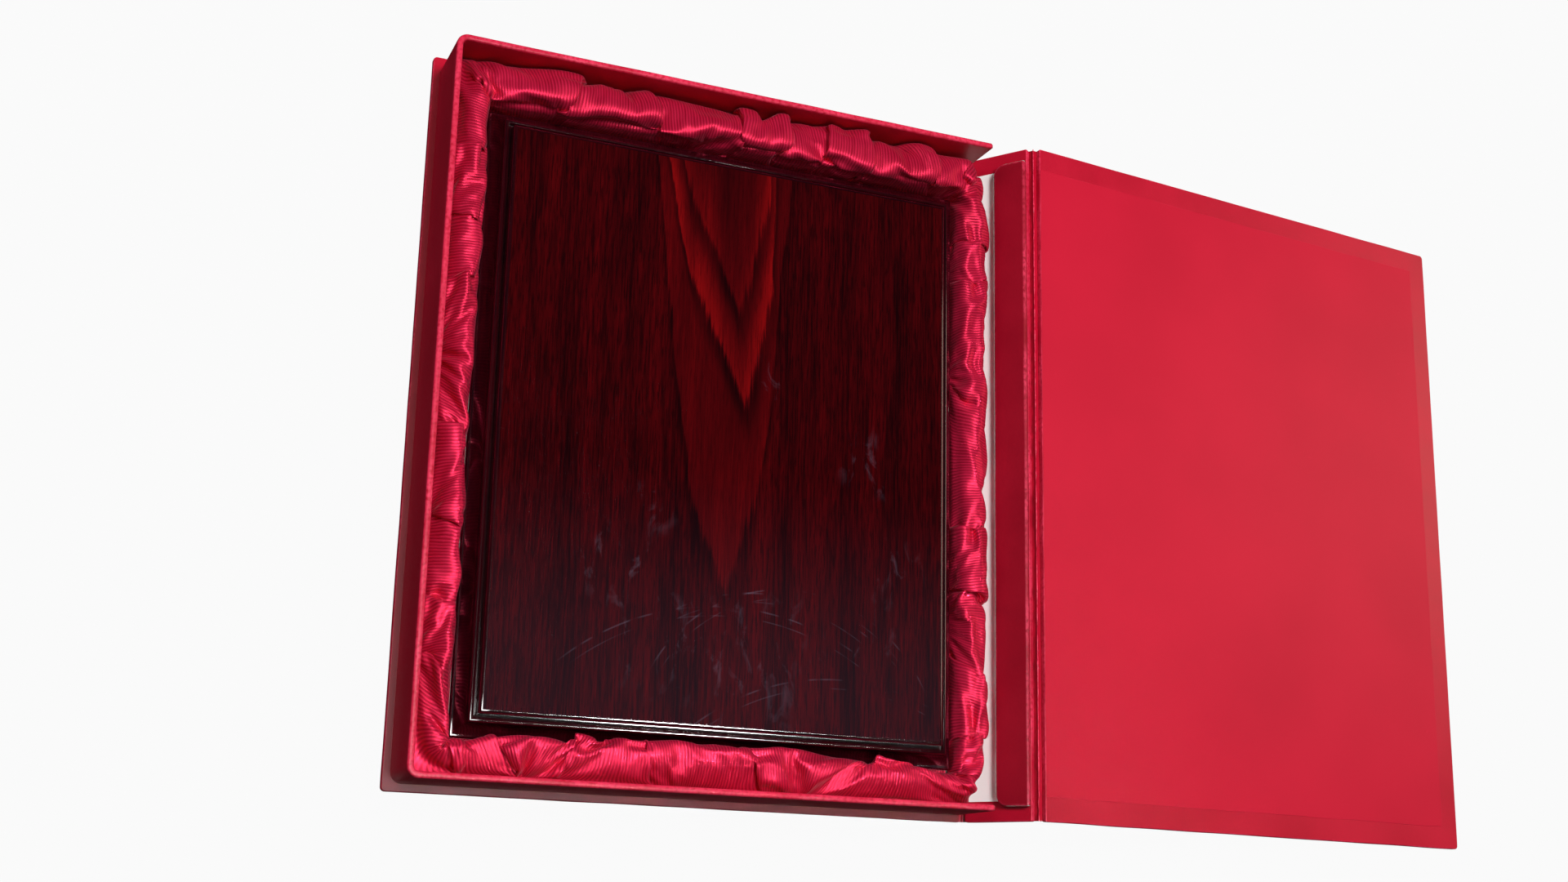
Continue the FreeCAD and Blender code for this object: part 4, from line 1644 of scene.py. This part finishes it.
    folds: tuple[Fold, ...] = (
        Fold(((NEAR, 30.0, 1.0), (NEAR, 62.0, 0.62), (NEAR, 100.0, 0.36), (NEAR, 122.0, 0.3)), 3.2, 4.5),
        Fold(((NEAR, 96.0, 0.95), (NEAR, 112.0, 0.7), (NEAR, 131.0, 0.55)), 2.0, 3.5),
        Fold(((NEAR, 70.0, 0.9), (NEAR, 84.0, 0.55)), -1.6, 4.0),
        Fold(((NEAR, -60.0, 0.9), (NEAR, -40.0, 0.5)), 1.0, 5.0),
        Fold(((NEAR, -15.0, 0.85), (NEAR, 5.0, 0.4)), 1.2, 5.0),
        Fold(((LEFT, 120.0, 0.6), (LEFT, 150.0, 0.5), (FAR, -120.0, 0.28), (FAR, -88.0, 0.45)), 2.0, 3.0),
        Fold(((LEFT, 128.0, 0.85), (LEFT, 156.0, 0.75), (FAR, -120.0, 0.58), (FAR, -80.0, 0.7)), 2.0, 3.0),
        Fold(((LEFT, -20.0, 0.3), (LEFT, -60.0, 0.5), (LEFT, -85.0, 0.15)), 2.2, 3.5),
        Fold(((LEFT, 52.0, 0.4), (LEFT, 10.0, 0.5), (LEFT, -15.0, 0.35)), 1.5, 3.0),
        Fold(((LEFT, -85.0, 0.5), (LEFT, -115.0, 0.7), (LEFT, -140.0, 0.8)), 1.8, 3.5),
        Fold(((LEFT, -100.0, 0.15), (LEFT, -130.0, 0.3), (LEFT, -155.0, 0.35)), 1.8, 3.5),
        Fold(((FAR, -70.0, 0.15), (FAR, -40.0, 0.4), (FAR, -10.0, 0.55)), 1.4, 4.0),
        Fold(((FAR, 80.0, 0.2), (FAR, 100.0, 0.45), (FAR, 112.0, 0.7)), 1.2, 4.0),
        Fold(((HINGE, 100.0, 0.4), (HINGE, 70.0, 0.34), (HINGE, 35.0, 0.42), (HINGE, 10.0, 0.5)), 2.0, 2.6),
        Fold(((HINGE, 96.0, 0.56), (HINGE, 60.0, 0.54), (HINGE, 20.0, 0.62)), 1.4, 3.0),
        Fold(((HINGE, -74.0, 0.36), (HINGE, -95.0, 0.42), (HINGE, -112.0, 0.6)), 2.0, 2.8),
        Fold(((HINGE, -70.0, 0.2), (HINGE, -105.0, 0.24), (HINGE, -130.0, 0.4)), 1.2, 3.0),
    )
    bulges: tuple[Bulge, ...] = (Bulge(0.0, 16.0, 1.6), Bulge(-112.0, 6.0, 2.6), Bulge(-141.0, 7.0, 3.0),
                                 Bulge(116.0, 9.0, 1.6))

    def path(self) -> RingPath:
        """The gap that the ring fills."""
        (nx0, ny0), (nx1, ny1) = self.nest_low, self.nest_high
        (rx0, ry0), (rx1, ry1) = self.room_low, self.room_high
        start, end = self.seam
        return RingPath((
            Leg(NEAR, (start, ny0), (nx0, ny0), (0.0, -1.0), ny0 - ry0),
            Leg(LEFT, (nx0, ny0), (nx0, ny1), (-1.0, 0.0), nx0 - rx0),
            Leg(FAR, (nx0, ny1), (nx1, ny1), (0.0, 1.0), ry1 - ny1),
            Leg(HINGE, (nx1, ny1), (nx1, ny0), (1.0, 0.0), rx1 - nx1),
            Leg(NEAR, (nx1, ny0), (end, ny0), (0.0, -1.0), ny0 - ry0)))

    def shapes(self, path: RingPath) -> tuple[np.ndarray, np.ndarray, np.ndarray]:
        """The cross-sections, each with its points at even distances.

        Args:
            path: the gap.

        Returns:
            Where they stand along the ring, their points as shares of the gap and heights, and their lengths.
        """
        where = np.array([path.place(one.side, one.place) for one in self.sections])
        made, lengths = [], []
        for one, at in zip(self.sections, where):
            scale = np.array([np.interp(at, path.run, path.gap), 1.0])
            corners = np.array(one.shape) * scale
            dense = np.linspace(0.0, len(corners) - 1.0, self.curve_points)
            curve = np.stack([np.interp(dense, np.arange(len(corners)), line) for line in corners.T], axis=-1)
            curve[1:-1] = softened(curve, self.curve_soften)[1:-1]
            run = steps_along(curve)
            even = np.linspace(0.0, run[-1], self.rows)
            made.append(np.stack([np.interp(even, run, line) for line in curve.T], axis=-1) / scale)
            lengths.append(run[-1])
        return where, np.array(made), np.array(lengths)

    def pleated(self, path: RingPath) -> tuple[np.ndarray, np.ndarray, float]:
        """How the cloth advances along the ring: in each pleat forwards, back and forwards again.

        Args:
            path: the gap.

        Returns:
            For each point of the grid its place along the ring and its height over the plain section, and the
            cloth's flat length.
        """
        marks = [(path.place(one.side, one.place), one) for one in self.pleats]
        marks.sort(key=lambda mark: mark[0])
        length = path.length * self.fullness + sum(2.0 * one.depth for one in self.pleats)
        fine = np.arange(0.0, length, self.pleat_step)
        columns = int(length / self.spacing) + 1
        reach = self.pleat_reach
        window = np.exp(-(np.arange(-reach, reach + 1) * self.pleat_step / self.pleat_blur) ** 2)
        window /= window.sum()
        place, height = np.zeros((columns, self.rows)), np.zeros((columns, self.rows))
        for row, share in enumerate(np.linspace(0.0, 1.0, self.rows)):
            pace, rise = np.full(len(fine), 1.0 / self.fullness), np.zeros(len(fine))
            passed = 0.0
            for at, one in marks:
                past = fine - ((at + one.slant * (share - 0.5)) * self.fullness + passed + one.depth)
                passed += 2.0 * one.depth
                doubled = np.where(abs(past) < 0.5 * one.depth, -1.0, 1.0)
                pace = np.where(abs(past) <= 1.5 * one.depth, doubled, pace)
                hook = one.hook * math.exp(-((share - 0.5) / self.hook_share) ** 2)
                past = past * one.way
                swell = step_up((past + 1.5 * one.depth + self.pleat_run) / self.pleat_run)
                rise += self.pleat_rise * (one.lift + hook) * swell * (1.0 - step_up(past / one.depth + 0.5))
            pace, rise = (np.convolve(np.pad(line, reach, "edge"), window, "valid") for line in (pace, rise))
            moved = np.concatenate([[0.0], np.cumsum((pace[1:] + pace[:-1]) / 2.0 * self.pleat_step)])
            even = np.linspace(0.0, fine[-1], columns)
            place[:, row] = np.interp(even, fine, moved * path.length / moved[-1])
            height[:, row] = np.interp(even, fine, rise)
        return place, height, length

    def waves(self, path: RingPath, place: np.ndarray, across: np.ndarray) -> np.ndarray:
        """Height of the broad folds and of small slanting waves.

        A fold is a bell curve of the distance from its line.

        Args:
            path: the gap.
            place, across: each point's place along the ring and its share across it.

        Returns:
            The height, in mm.
        """
        made = np.zeros(place.shape)
        hump = np.sin(math.pi * across)
        spot = np.stack([place, self.strip_width * across], axis=-1)
        for one in self.folds:
            line = np.array([(path.place(side, where), self.strip_width * share)
                             for side, where, share in one.line])
            nearest = np.full(place.shape, np.inf)
            for first, last in zip(line[:-1], line[1:]):
                way = last - first
                share = np.clip((spot - first) @ way / (way @ way), 0.0, 1.0)
                nearest = np.minimum(nearest, np.linalg.norm(spot - first - share[..., None] * way, axis=-1))
            made += self.fold_rise * one.height * np.exp(-(nearest / one.width) ** 2) * hump ** self.fold_fade
        slanted = place + self.wave_slant * (across - 0.5) * ripple(place, self.slant_wave, seed=52)
        small = sum(size * ripple(slanted, wave, seed)
                    for seed, (wave, size) in enumerate(self.small_waves, start=53))
        return made + small * hump

    def laid(self) -> tuple[np.ndarray, float, np.ndarray]:
        """The ring as laid, before it relaxes.

        Returns:
            Its points, its flat length and its flat width at each column.
        """
        path = self.path()
        middle = self.rows // 2
        place, height, length = self.pleated(path)
        across = np.broadcast_to(np.linspace(0.0, 1.0, self.rows), place.shape)
        hump = np.sin(math.pi * across)
        ends = np.clip(np.minimum(place, path.length - place) / self.end_run, 0.0, 1.0)
        drift = self.drift * ripple(place[:, middle], self.drift_wave, seed=51)[:, None]
        place = np.clip(place + drift * (across - 0.5) * ends, 0.0, path.length)
        where, shapes, lengths = self.shapes(path)
        share, z = (np.stack([np.interp(place[:, row], where, shapes[:, row, k]) for row in range(self.rows)],
                             axis=-1) for k in (0, 1))
        z = z + self.puff * (z - self.floor) * ripple(place, self.puff_wave, seed=56) * hump * ends
        inner, outer = (path.sample(line, place) for line in path.edges)
        points = np.concatenate([inner + (outer - inner) * share[..., None], z[..., None]], axis=-1)
        tangent = path.sample(np.gradient(path.edges[0] + path.edges[1], axis=0), place)
        tangent = np.concatenate([tangent, np.zeros_like(z)[..., None]], axis=-1)
        normal = np.cross(np.gradient(points, axis=1), tangent)
        normal /= np.maximum(np.linalg.norm(normal, axis=-1, keepdims=True), TINY)
        normal *= np.sign(normal[:, middle, 2].mean())
        rise = height * hump ** self.pleat_fade + self.waves(path, place, across)
        tucked = self.tuck * (1.0 - step_up(place / self.tuck_run)) * hump
        points += normal * (rise * ends - tucked)[..., None]
        hinge = step_up((points[..., 0] - self.bulge_start) / self.bulge_run) * hump
        points[..., 0] += hinge * sum(one.size * np.exp(-((points[..., 1] - one.y) / one.reach) ** 2)
                                      for one in self.bulges)
        width = np.interp(place[:, middle], where, lengths) * self.ease + height.max(axis=1)
        return points, length, width

    def limits(self, points: np.ndarray) -> np.ndarray:
        """Keeps cloth over the pad or past its edge, inside the walls, off the plaque and the leaning spine.

        High folds may lean over the plaque's foot by a little that differs from side to side. On the near
        side they lie on its moulding.

        Args:
            points: places of the cloth.

        Returns:
            The nearest allowed places.
        """
        kept = points.copy()
        kept[..., 1] = np.clip(kept[..., 1], self.room_low[1], self.room_high[1])
        most = np.interp(kept[..., 2], *np.array(self.spine_limit).T)
        most = np.minimum(most, np.interp(abs(kept[..., 1]), *np.array(self.wall_limit).T))
        kept[..., 0] = np.clip(kept[..., 0], self.room_low[0], most)
        pad_end = self.pad_high[0] + self.pad_gap
        low, short = self.floor - kept[..., 2], pad_end - kept[..., 0]
        sunk = (low > 0.0) & (short > 0.0)
        kept[..., 2] = np.where(sunk & (low < short), self.floor, kept[..., 2])
        kept[..., 0] = np.where(sunk & (low >= short), pad_end, kept[..., 0])
        top = np.where(kept[..., 0] > self.pad_high[0], self.hinge_top, self.top)
        kept[..., 2] = np.clip(kept[..., 2], self.base, top)
        inset = kept[..., 1] - self.nest_low[1] - self.moulding_gap[0]
        lying = np.interp(inset, *np.array(self.moulding).T) + self.moulding_gap[1]
        lap = step_up((self.lap_end - abs(kept[..., 0])) / self.lap_fade) * (kept[..., 2] >= lying)
        over = np.interp(kept[..., 2], self.lean_heights, (0.0, 1.0))
        edges = ((LEFT, 0, self.nest_low[0], 1.0), (HINGE, 0, self.nest_high[0], -1.0),
                 (NEAR, 1, self.nest_low[1], 1.0), (FAR, 1, self.nest_high[1], -1.0))
        depth = np.stack([(kept[..., axis] - value) * sign for _, axis, value, sign in edges])
        nearest = depth.argmin(0)
        for number, ((side, axis, value, sign), lean, deep) in enumerate(zip(edges, self.lean, depth)):
            allowed = lean * (lap if side is NEAR else over)
            past = (nearest == number) & (deep > allowed)
            if side is NEAR:
                sink = lying - kept[..., 2]
                raised = past & (sink < deep) & (sink > 0.0) & (deep < self.lap_lift)
                kept[..., 2] = np.where(raised, lying, kept[..., 2])
                past &= ~raised
            kept[..., axis] = np.where(past, value + sign * allowed, kept[..., axis])
        return kept

    def ring(self) -> np.ndarray:
        """The relaxed ring: on the grid as laid, then on one twice as fine, then smoothed a little."""
        points, length, width = self.laid()
        for number, forces in enumerate(self.rounds):
            if number > 0:
                points = finer(points)
            share = np.linspace(0.0, 1.0, len(points))
            wide = np.interp(share, np.linspace(0.0, 1.0, len(width)), width)
            along, across = length / (len(points) - 1), wide / (points.shape[1] - 1)
            points = ClothRun(self.limits(points), along, across, self.limits, forces).settle()
        for _ in range(self.smoothing):
            middle = (points[2:, 1:-1] + points[:-2, 1:-1] + points[1:-1, 2:] + points[1:-1, :-2]) / 4.0
            points[1:-1, 1:-1] += 0.5 * (middle - points[1:-1, 1:-1])
        return self.limits(points)

    def sheet_piece(self, name: str, points: np.ndarray) -> tuple[bpy.types.Object, float, float]:
        """A relaxed cloth as a piece whose flat coordinates are its mean lengths along and across.

        Args:
            name: the piece's name.
            points: the cloth.

        Returns:
            The object, its flat width and its flat length, in metres.
        """
        along = np.linalg.norm(np.diff(points, axis=0), axis=-1).mean(1)
        across = np.linalg.norm(np.diff(points, axis=1), axis=-1).mean(0)
        u, v = (np.concatenate([[0.0], np.cumsum(x)]) for x in (along, across))
        made = Surface()
        made.grid(points, thread=np.stack(np.meshgrid(u, v, indexing="ij"), axis=-1))
        piece = made.piece(name, self.finishes["satin"], Facing.UP, crease=180.0)
        return piece, float(v[-1]) * MM, float(u[-1]) * MM

    def build(self) -> None:
        """Makes the ring and the near strip from one cloth, then the pad and the satin over it.

        The near strip lies over the plaque's foot.
        """
        points = self.ring()
        near = (abs(points[:, 0, 1] - self.nest_low[1]) < 0.01) & (points[:, 0, 0] < self.cut)
        start = int(np.argmax(near & (np.arange(len(points)) > len(points) // 2)))
        for one, part in zip(self.cuts, (points[:start + 1], points[start:])):
            piece, width, length = self.sheet_piece(one.name, part)
            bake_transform(piece)
            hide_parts(*(f"{stuff}_{side}" for stuff in ("satin", "foam") for side in one.sides))
            LOG.info("%s bends between %s and %s", one.name, *one.bodies)
        self.pad()

    def pad(self) -> None:
        """The foam pad on the base board and the satin laid over it."""
        loop, rays = rounded_loop(self.pad_low, self.pad_high, self.pad_corners)
        foam = slab(loop, rays, self.pad_base, self.pad_thickness, self.pad_edge, np.copy, seed=71)
        foam = foam.piece("foam_pad", self.finishes["foam"])
        settle(foam, "tray", "floor_pad")
        x, y = (np.linspace(low + self.under_gap, high - self.under_gap, count)
                for low, high, count in zip(self.nest_low, self.nest_high, self.under_points))
        gx, gy = np.meshgrid(x, y, indexing="ij")
        z = self.under_height + self.under_wave * ripple(gx + 0.4 * gy, 46.0, seed=72)
        z = z + self.under_wave * ripple(gy - 0.3 * gx, 70.0, seed=73)
        made = Surface()
        points = np.stack([gx, gy, np.clip(z, *self.under_range)], axis=-1)
        made.grid(points, thread=points[..., :2])
        under = made.piece("satin_under_plaque", self.finishes["satin"], Facing.UP)
        settle(under, "tray", "satin_floor")


class Shine(Enum):
    """What a lamp lights: the colour of matt surfaces, or the gloss on shining ones."""

    MATT = "matt"
    GLOSSY = "glossy"


@dataclass(frozen=True)
class Lamp:
    """A square soft light that faces a point. Lengths are metres, power is watts, spread is degrees."""

    name: str
    place: tuple[float, float, float]
    aim: tuple[float, float, float]
    size: float
    power: float
    shine: Shine
    spread: float = 180.0
    tint: tuple[float, float, float] = (1.0, 1.0, 1.0)

    def build(self) -> None:
        """Stands the light in the scene, and lets it act on matt or on glossy surfaces only."""
        data = bpy.data.lights.new(self.name, "AREA")
        data.shape, data.size, data.energy = "SQUARE", self.size, self.power
        data.spread, data.color = math.radians(self.spread), self.tint
        made = bpy.data.objects.new(self.name, data)
        made.visible_diffuse, made.visible_glossy = self.shine is Shine.MATT, self.shine is Shine.GLOSSY
        made.location = self.place
        made.rotation_euler = (Vector(self.aim) - Vector(self.place)).to_track_quat("-Z", "Y").to_euler()
        bpy.context.scene.collection.objects.link(made)


@dataclass
class Studio:
    """Pale floor, soft lights and the camera."""

    eye: tuple[float, float, float] = (-304.6, -241.0, 835.1)
    right: tuple[float, float, float] = (0.92246, 0.02429, 0.38534)
    up: tuple[float, float, float] = (-0.11105, 0.97254, 0.20455)
    lens: float = 42.613
    sensor: float = 36.0
    shift: Point = (0.0078, 0.0417)
    clip: Point = (0.01, 50.0)
    floor_half: float = 4000.0
    floor_height: float = -0.4
    floor_glow: float = 0.95
    floor_tones: tuple[Colour, Colour] = (display(84, 84, 84), display(90, 90, 90))
    floor_in_gloss: Colour = display(24, 18, 20)
    white: Colour = (1.0, 1.0, 1.0, 1.0)
    room_light: float = 0.16
    room_gloss: float = 0.012
    room_seen: float = 0.8
    lamps: tuple[Lamp, ...] = (
        Lamp("key", (0.25, 0.42, 2.1), (0.1, 0.0, 0.0), 0.6, 54.0, Shine.MATT),
        Lamp("fill", (-1.3, 0.9, 0.9), (0.0, 0.0, 0.0), 0.7, 9.0, Shine.MATT),
        Lamp("sheen", (-0.25, -0.38, 2.0), (0.0, 0.0, 0.0), 0.75, 38.0, Shine.GLOSSY),
        Lamp("glint", (0.75, -0.8, 2.0), (0.03, -0.2, 0.03), 0.35, 0.3, Shine.GLOSSY, spread=7.0),
        Lamp("side", (1.35, 0.3, 0.55), (0.1, 0.0, 0.03), 0.5, 3.0, Shine.GLOSSY, tint=(1.0, 0.82, 0.66)),
    )

    def camera(self) -> None:
        """Stands the camera at the photograph's viewpoint: its axes are the columns of its turn."""
        data = bpy.data.cameras.new("camera")
        data.sensor_width, data.lens = self.sensor, self.lens
        data.shift_x, data.shift_y = self.shift
        data.clip_start, data.clip_end = self.clip
        right = np.array(self.right) / np.linalg.norm(self.right)
        back = np.cross(right, np.array(self.up))
        back /= np.linalg.norm(back)
        up = np.cross(back, right)
        turn = np.eye(4)
        turn[:3, 0], turn[:3, 1], turn[:3, 2] = right, up, back
        turn[:3, 3] = np.array(self.eye) * MM
        made = bpy.data.objects.new("camera", data)
        made.matrix_world = Matrix(turn.tolist())
        bpy.context.scene.collection.objects.link(made)
        bpy.context.scene.camera = made

    def ground(self) -> None:
        """The floor: grey for light that falls on it, dark in glossy surfaces, near white for the camera."""
        dye = Dye("pale_floor")
        at = dye.place(Coords.OBJECT)
        tone = dye.blend(dye.noise(at, scale=0.01), *self.floor_tones)
        diffuse = dye.node("ShaderNodeBsdfDiffuse", None, {"Color": tone})
        glow = dye.node("ShaderNodeEmission", None, {"Color": self.white, "Strength": 1.0})
        dark = dye.node("ShaderNodeBsdfDiffuse", None, {"Color": self.floor_in_gloss})
        ray = dye.node("ShaderNodeLightPath")
        for share, second in ((Wire(dye, ray.outputs["Is Glossy Ray"]), dark),
                              (Wire(dye, ray.outputs["Is Camera Ray"]) * self.floor_glow, glow)):
            mixed = dye.node("ShaderNodeMixShader", None, {"Fac": share})
            dye.tree.links.new(diffuse.outputs[0], mixed.inputs[1])
            dye.tree.links.new(second.outputs[0], mixed.inputs[2])
            diffuse = mixed
        dye.node("ShaderNodeOutputMaterial", None, {"Surface": Wire(dye, diffuse.outputs[0])})
        side = np.linspace(-self.floor_half, self.floor_half, 9)
        gx, gy = np.meshgrid(side, side, indexing="ij")
        made = Surface()
        made.grid(np.stack([gx, gy, np.full_like(gx, self.floor_height)], axis=-1))
        made.piece("floor", dye.material, Facing.UP)

    def world(self) -> None:
        """A dim even room, darker in glossy surfaces and close to white where the camera sees it."""
        world = bpy.data.worlds.new("room")
        bpy.context.scene.world = world
        world.use_nodes = True
        tree = world.node_tree
        tree.nodes["Background"].inputs["Color"].default_value = self.white
        ray = tree.nodes.new("ShaderNodeLightPath")
        dim = tree.nodes.new("ShaderNodeMapRange")
        dim.inputs["To Min"].default_value = self.room_light
        dim.inputs["To Max"].default_value = self.room_gloss
        tree.links.new(ray.outputs["Is Glossy Ray"], dim.inputs["Value"])
        seen = tree.nodes.new("ShaderNodeMath")
        seen.operation, seen.inputs[1].default_value = "MULTIPLY_ADD", self.room_seen
        tree.links.new(ray.outputs["Is Camera Ray"], seen.inputs[0])
        tree.links.new(dim.outputs["Result"], seen.inputs[2])
        tree.links.new(seen.outputs[0], tree.nodes["Background"].inputs["Strength"])

    def build(self) -> None:
        """Sets up floor, world, lights, camera and the plain view."""
        self.camera()
        self.ground()
        self.world()
        for lamp in self.lamps:
            lamp.build()
        bpy.context.scene.view_settings.view_transform = "Standard"


def dress_nodes(finishes: dict[str, bpy.types.Material]) -> None:
    """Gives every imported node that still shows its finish."""
    for name in ("base_board", "tray_wall_board", "spine_board", "spine_lip_board", "lid_board"):
        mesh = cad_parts[name].data
        mesh.materials.clear()
        mesh.materials.append(finishes["board"])


def main() -> None:
    """Builds the case, the plaque, the satin and the studio in order."""
    logging.basicConfig(level=logging.INFO, format="%(name)s: %(message)s")
    kinds = Finishes()
    finishes = {one.name: getattr(kinds, one.name).material() for one in fields(kinds)}
    Boards(finishes).build()
    Walls(finishes).build()
    Plaque(finishes).build()
    SatinLining(finishes).build()
    dress_nodes(finishes)
    Studio().build()


if __name__ == "__main__":
    main()
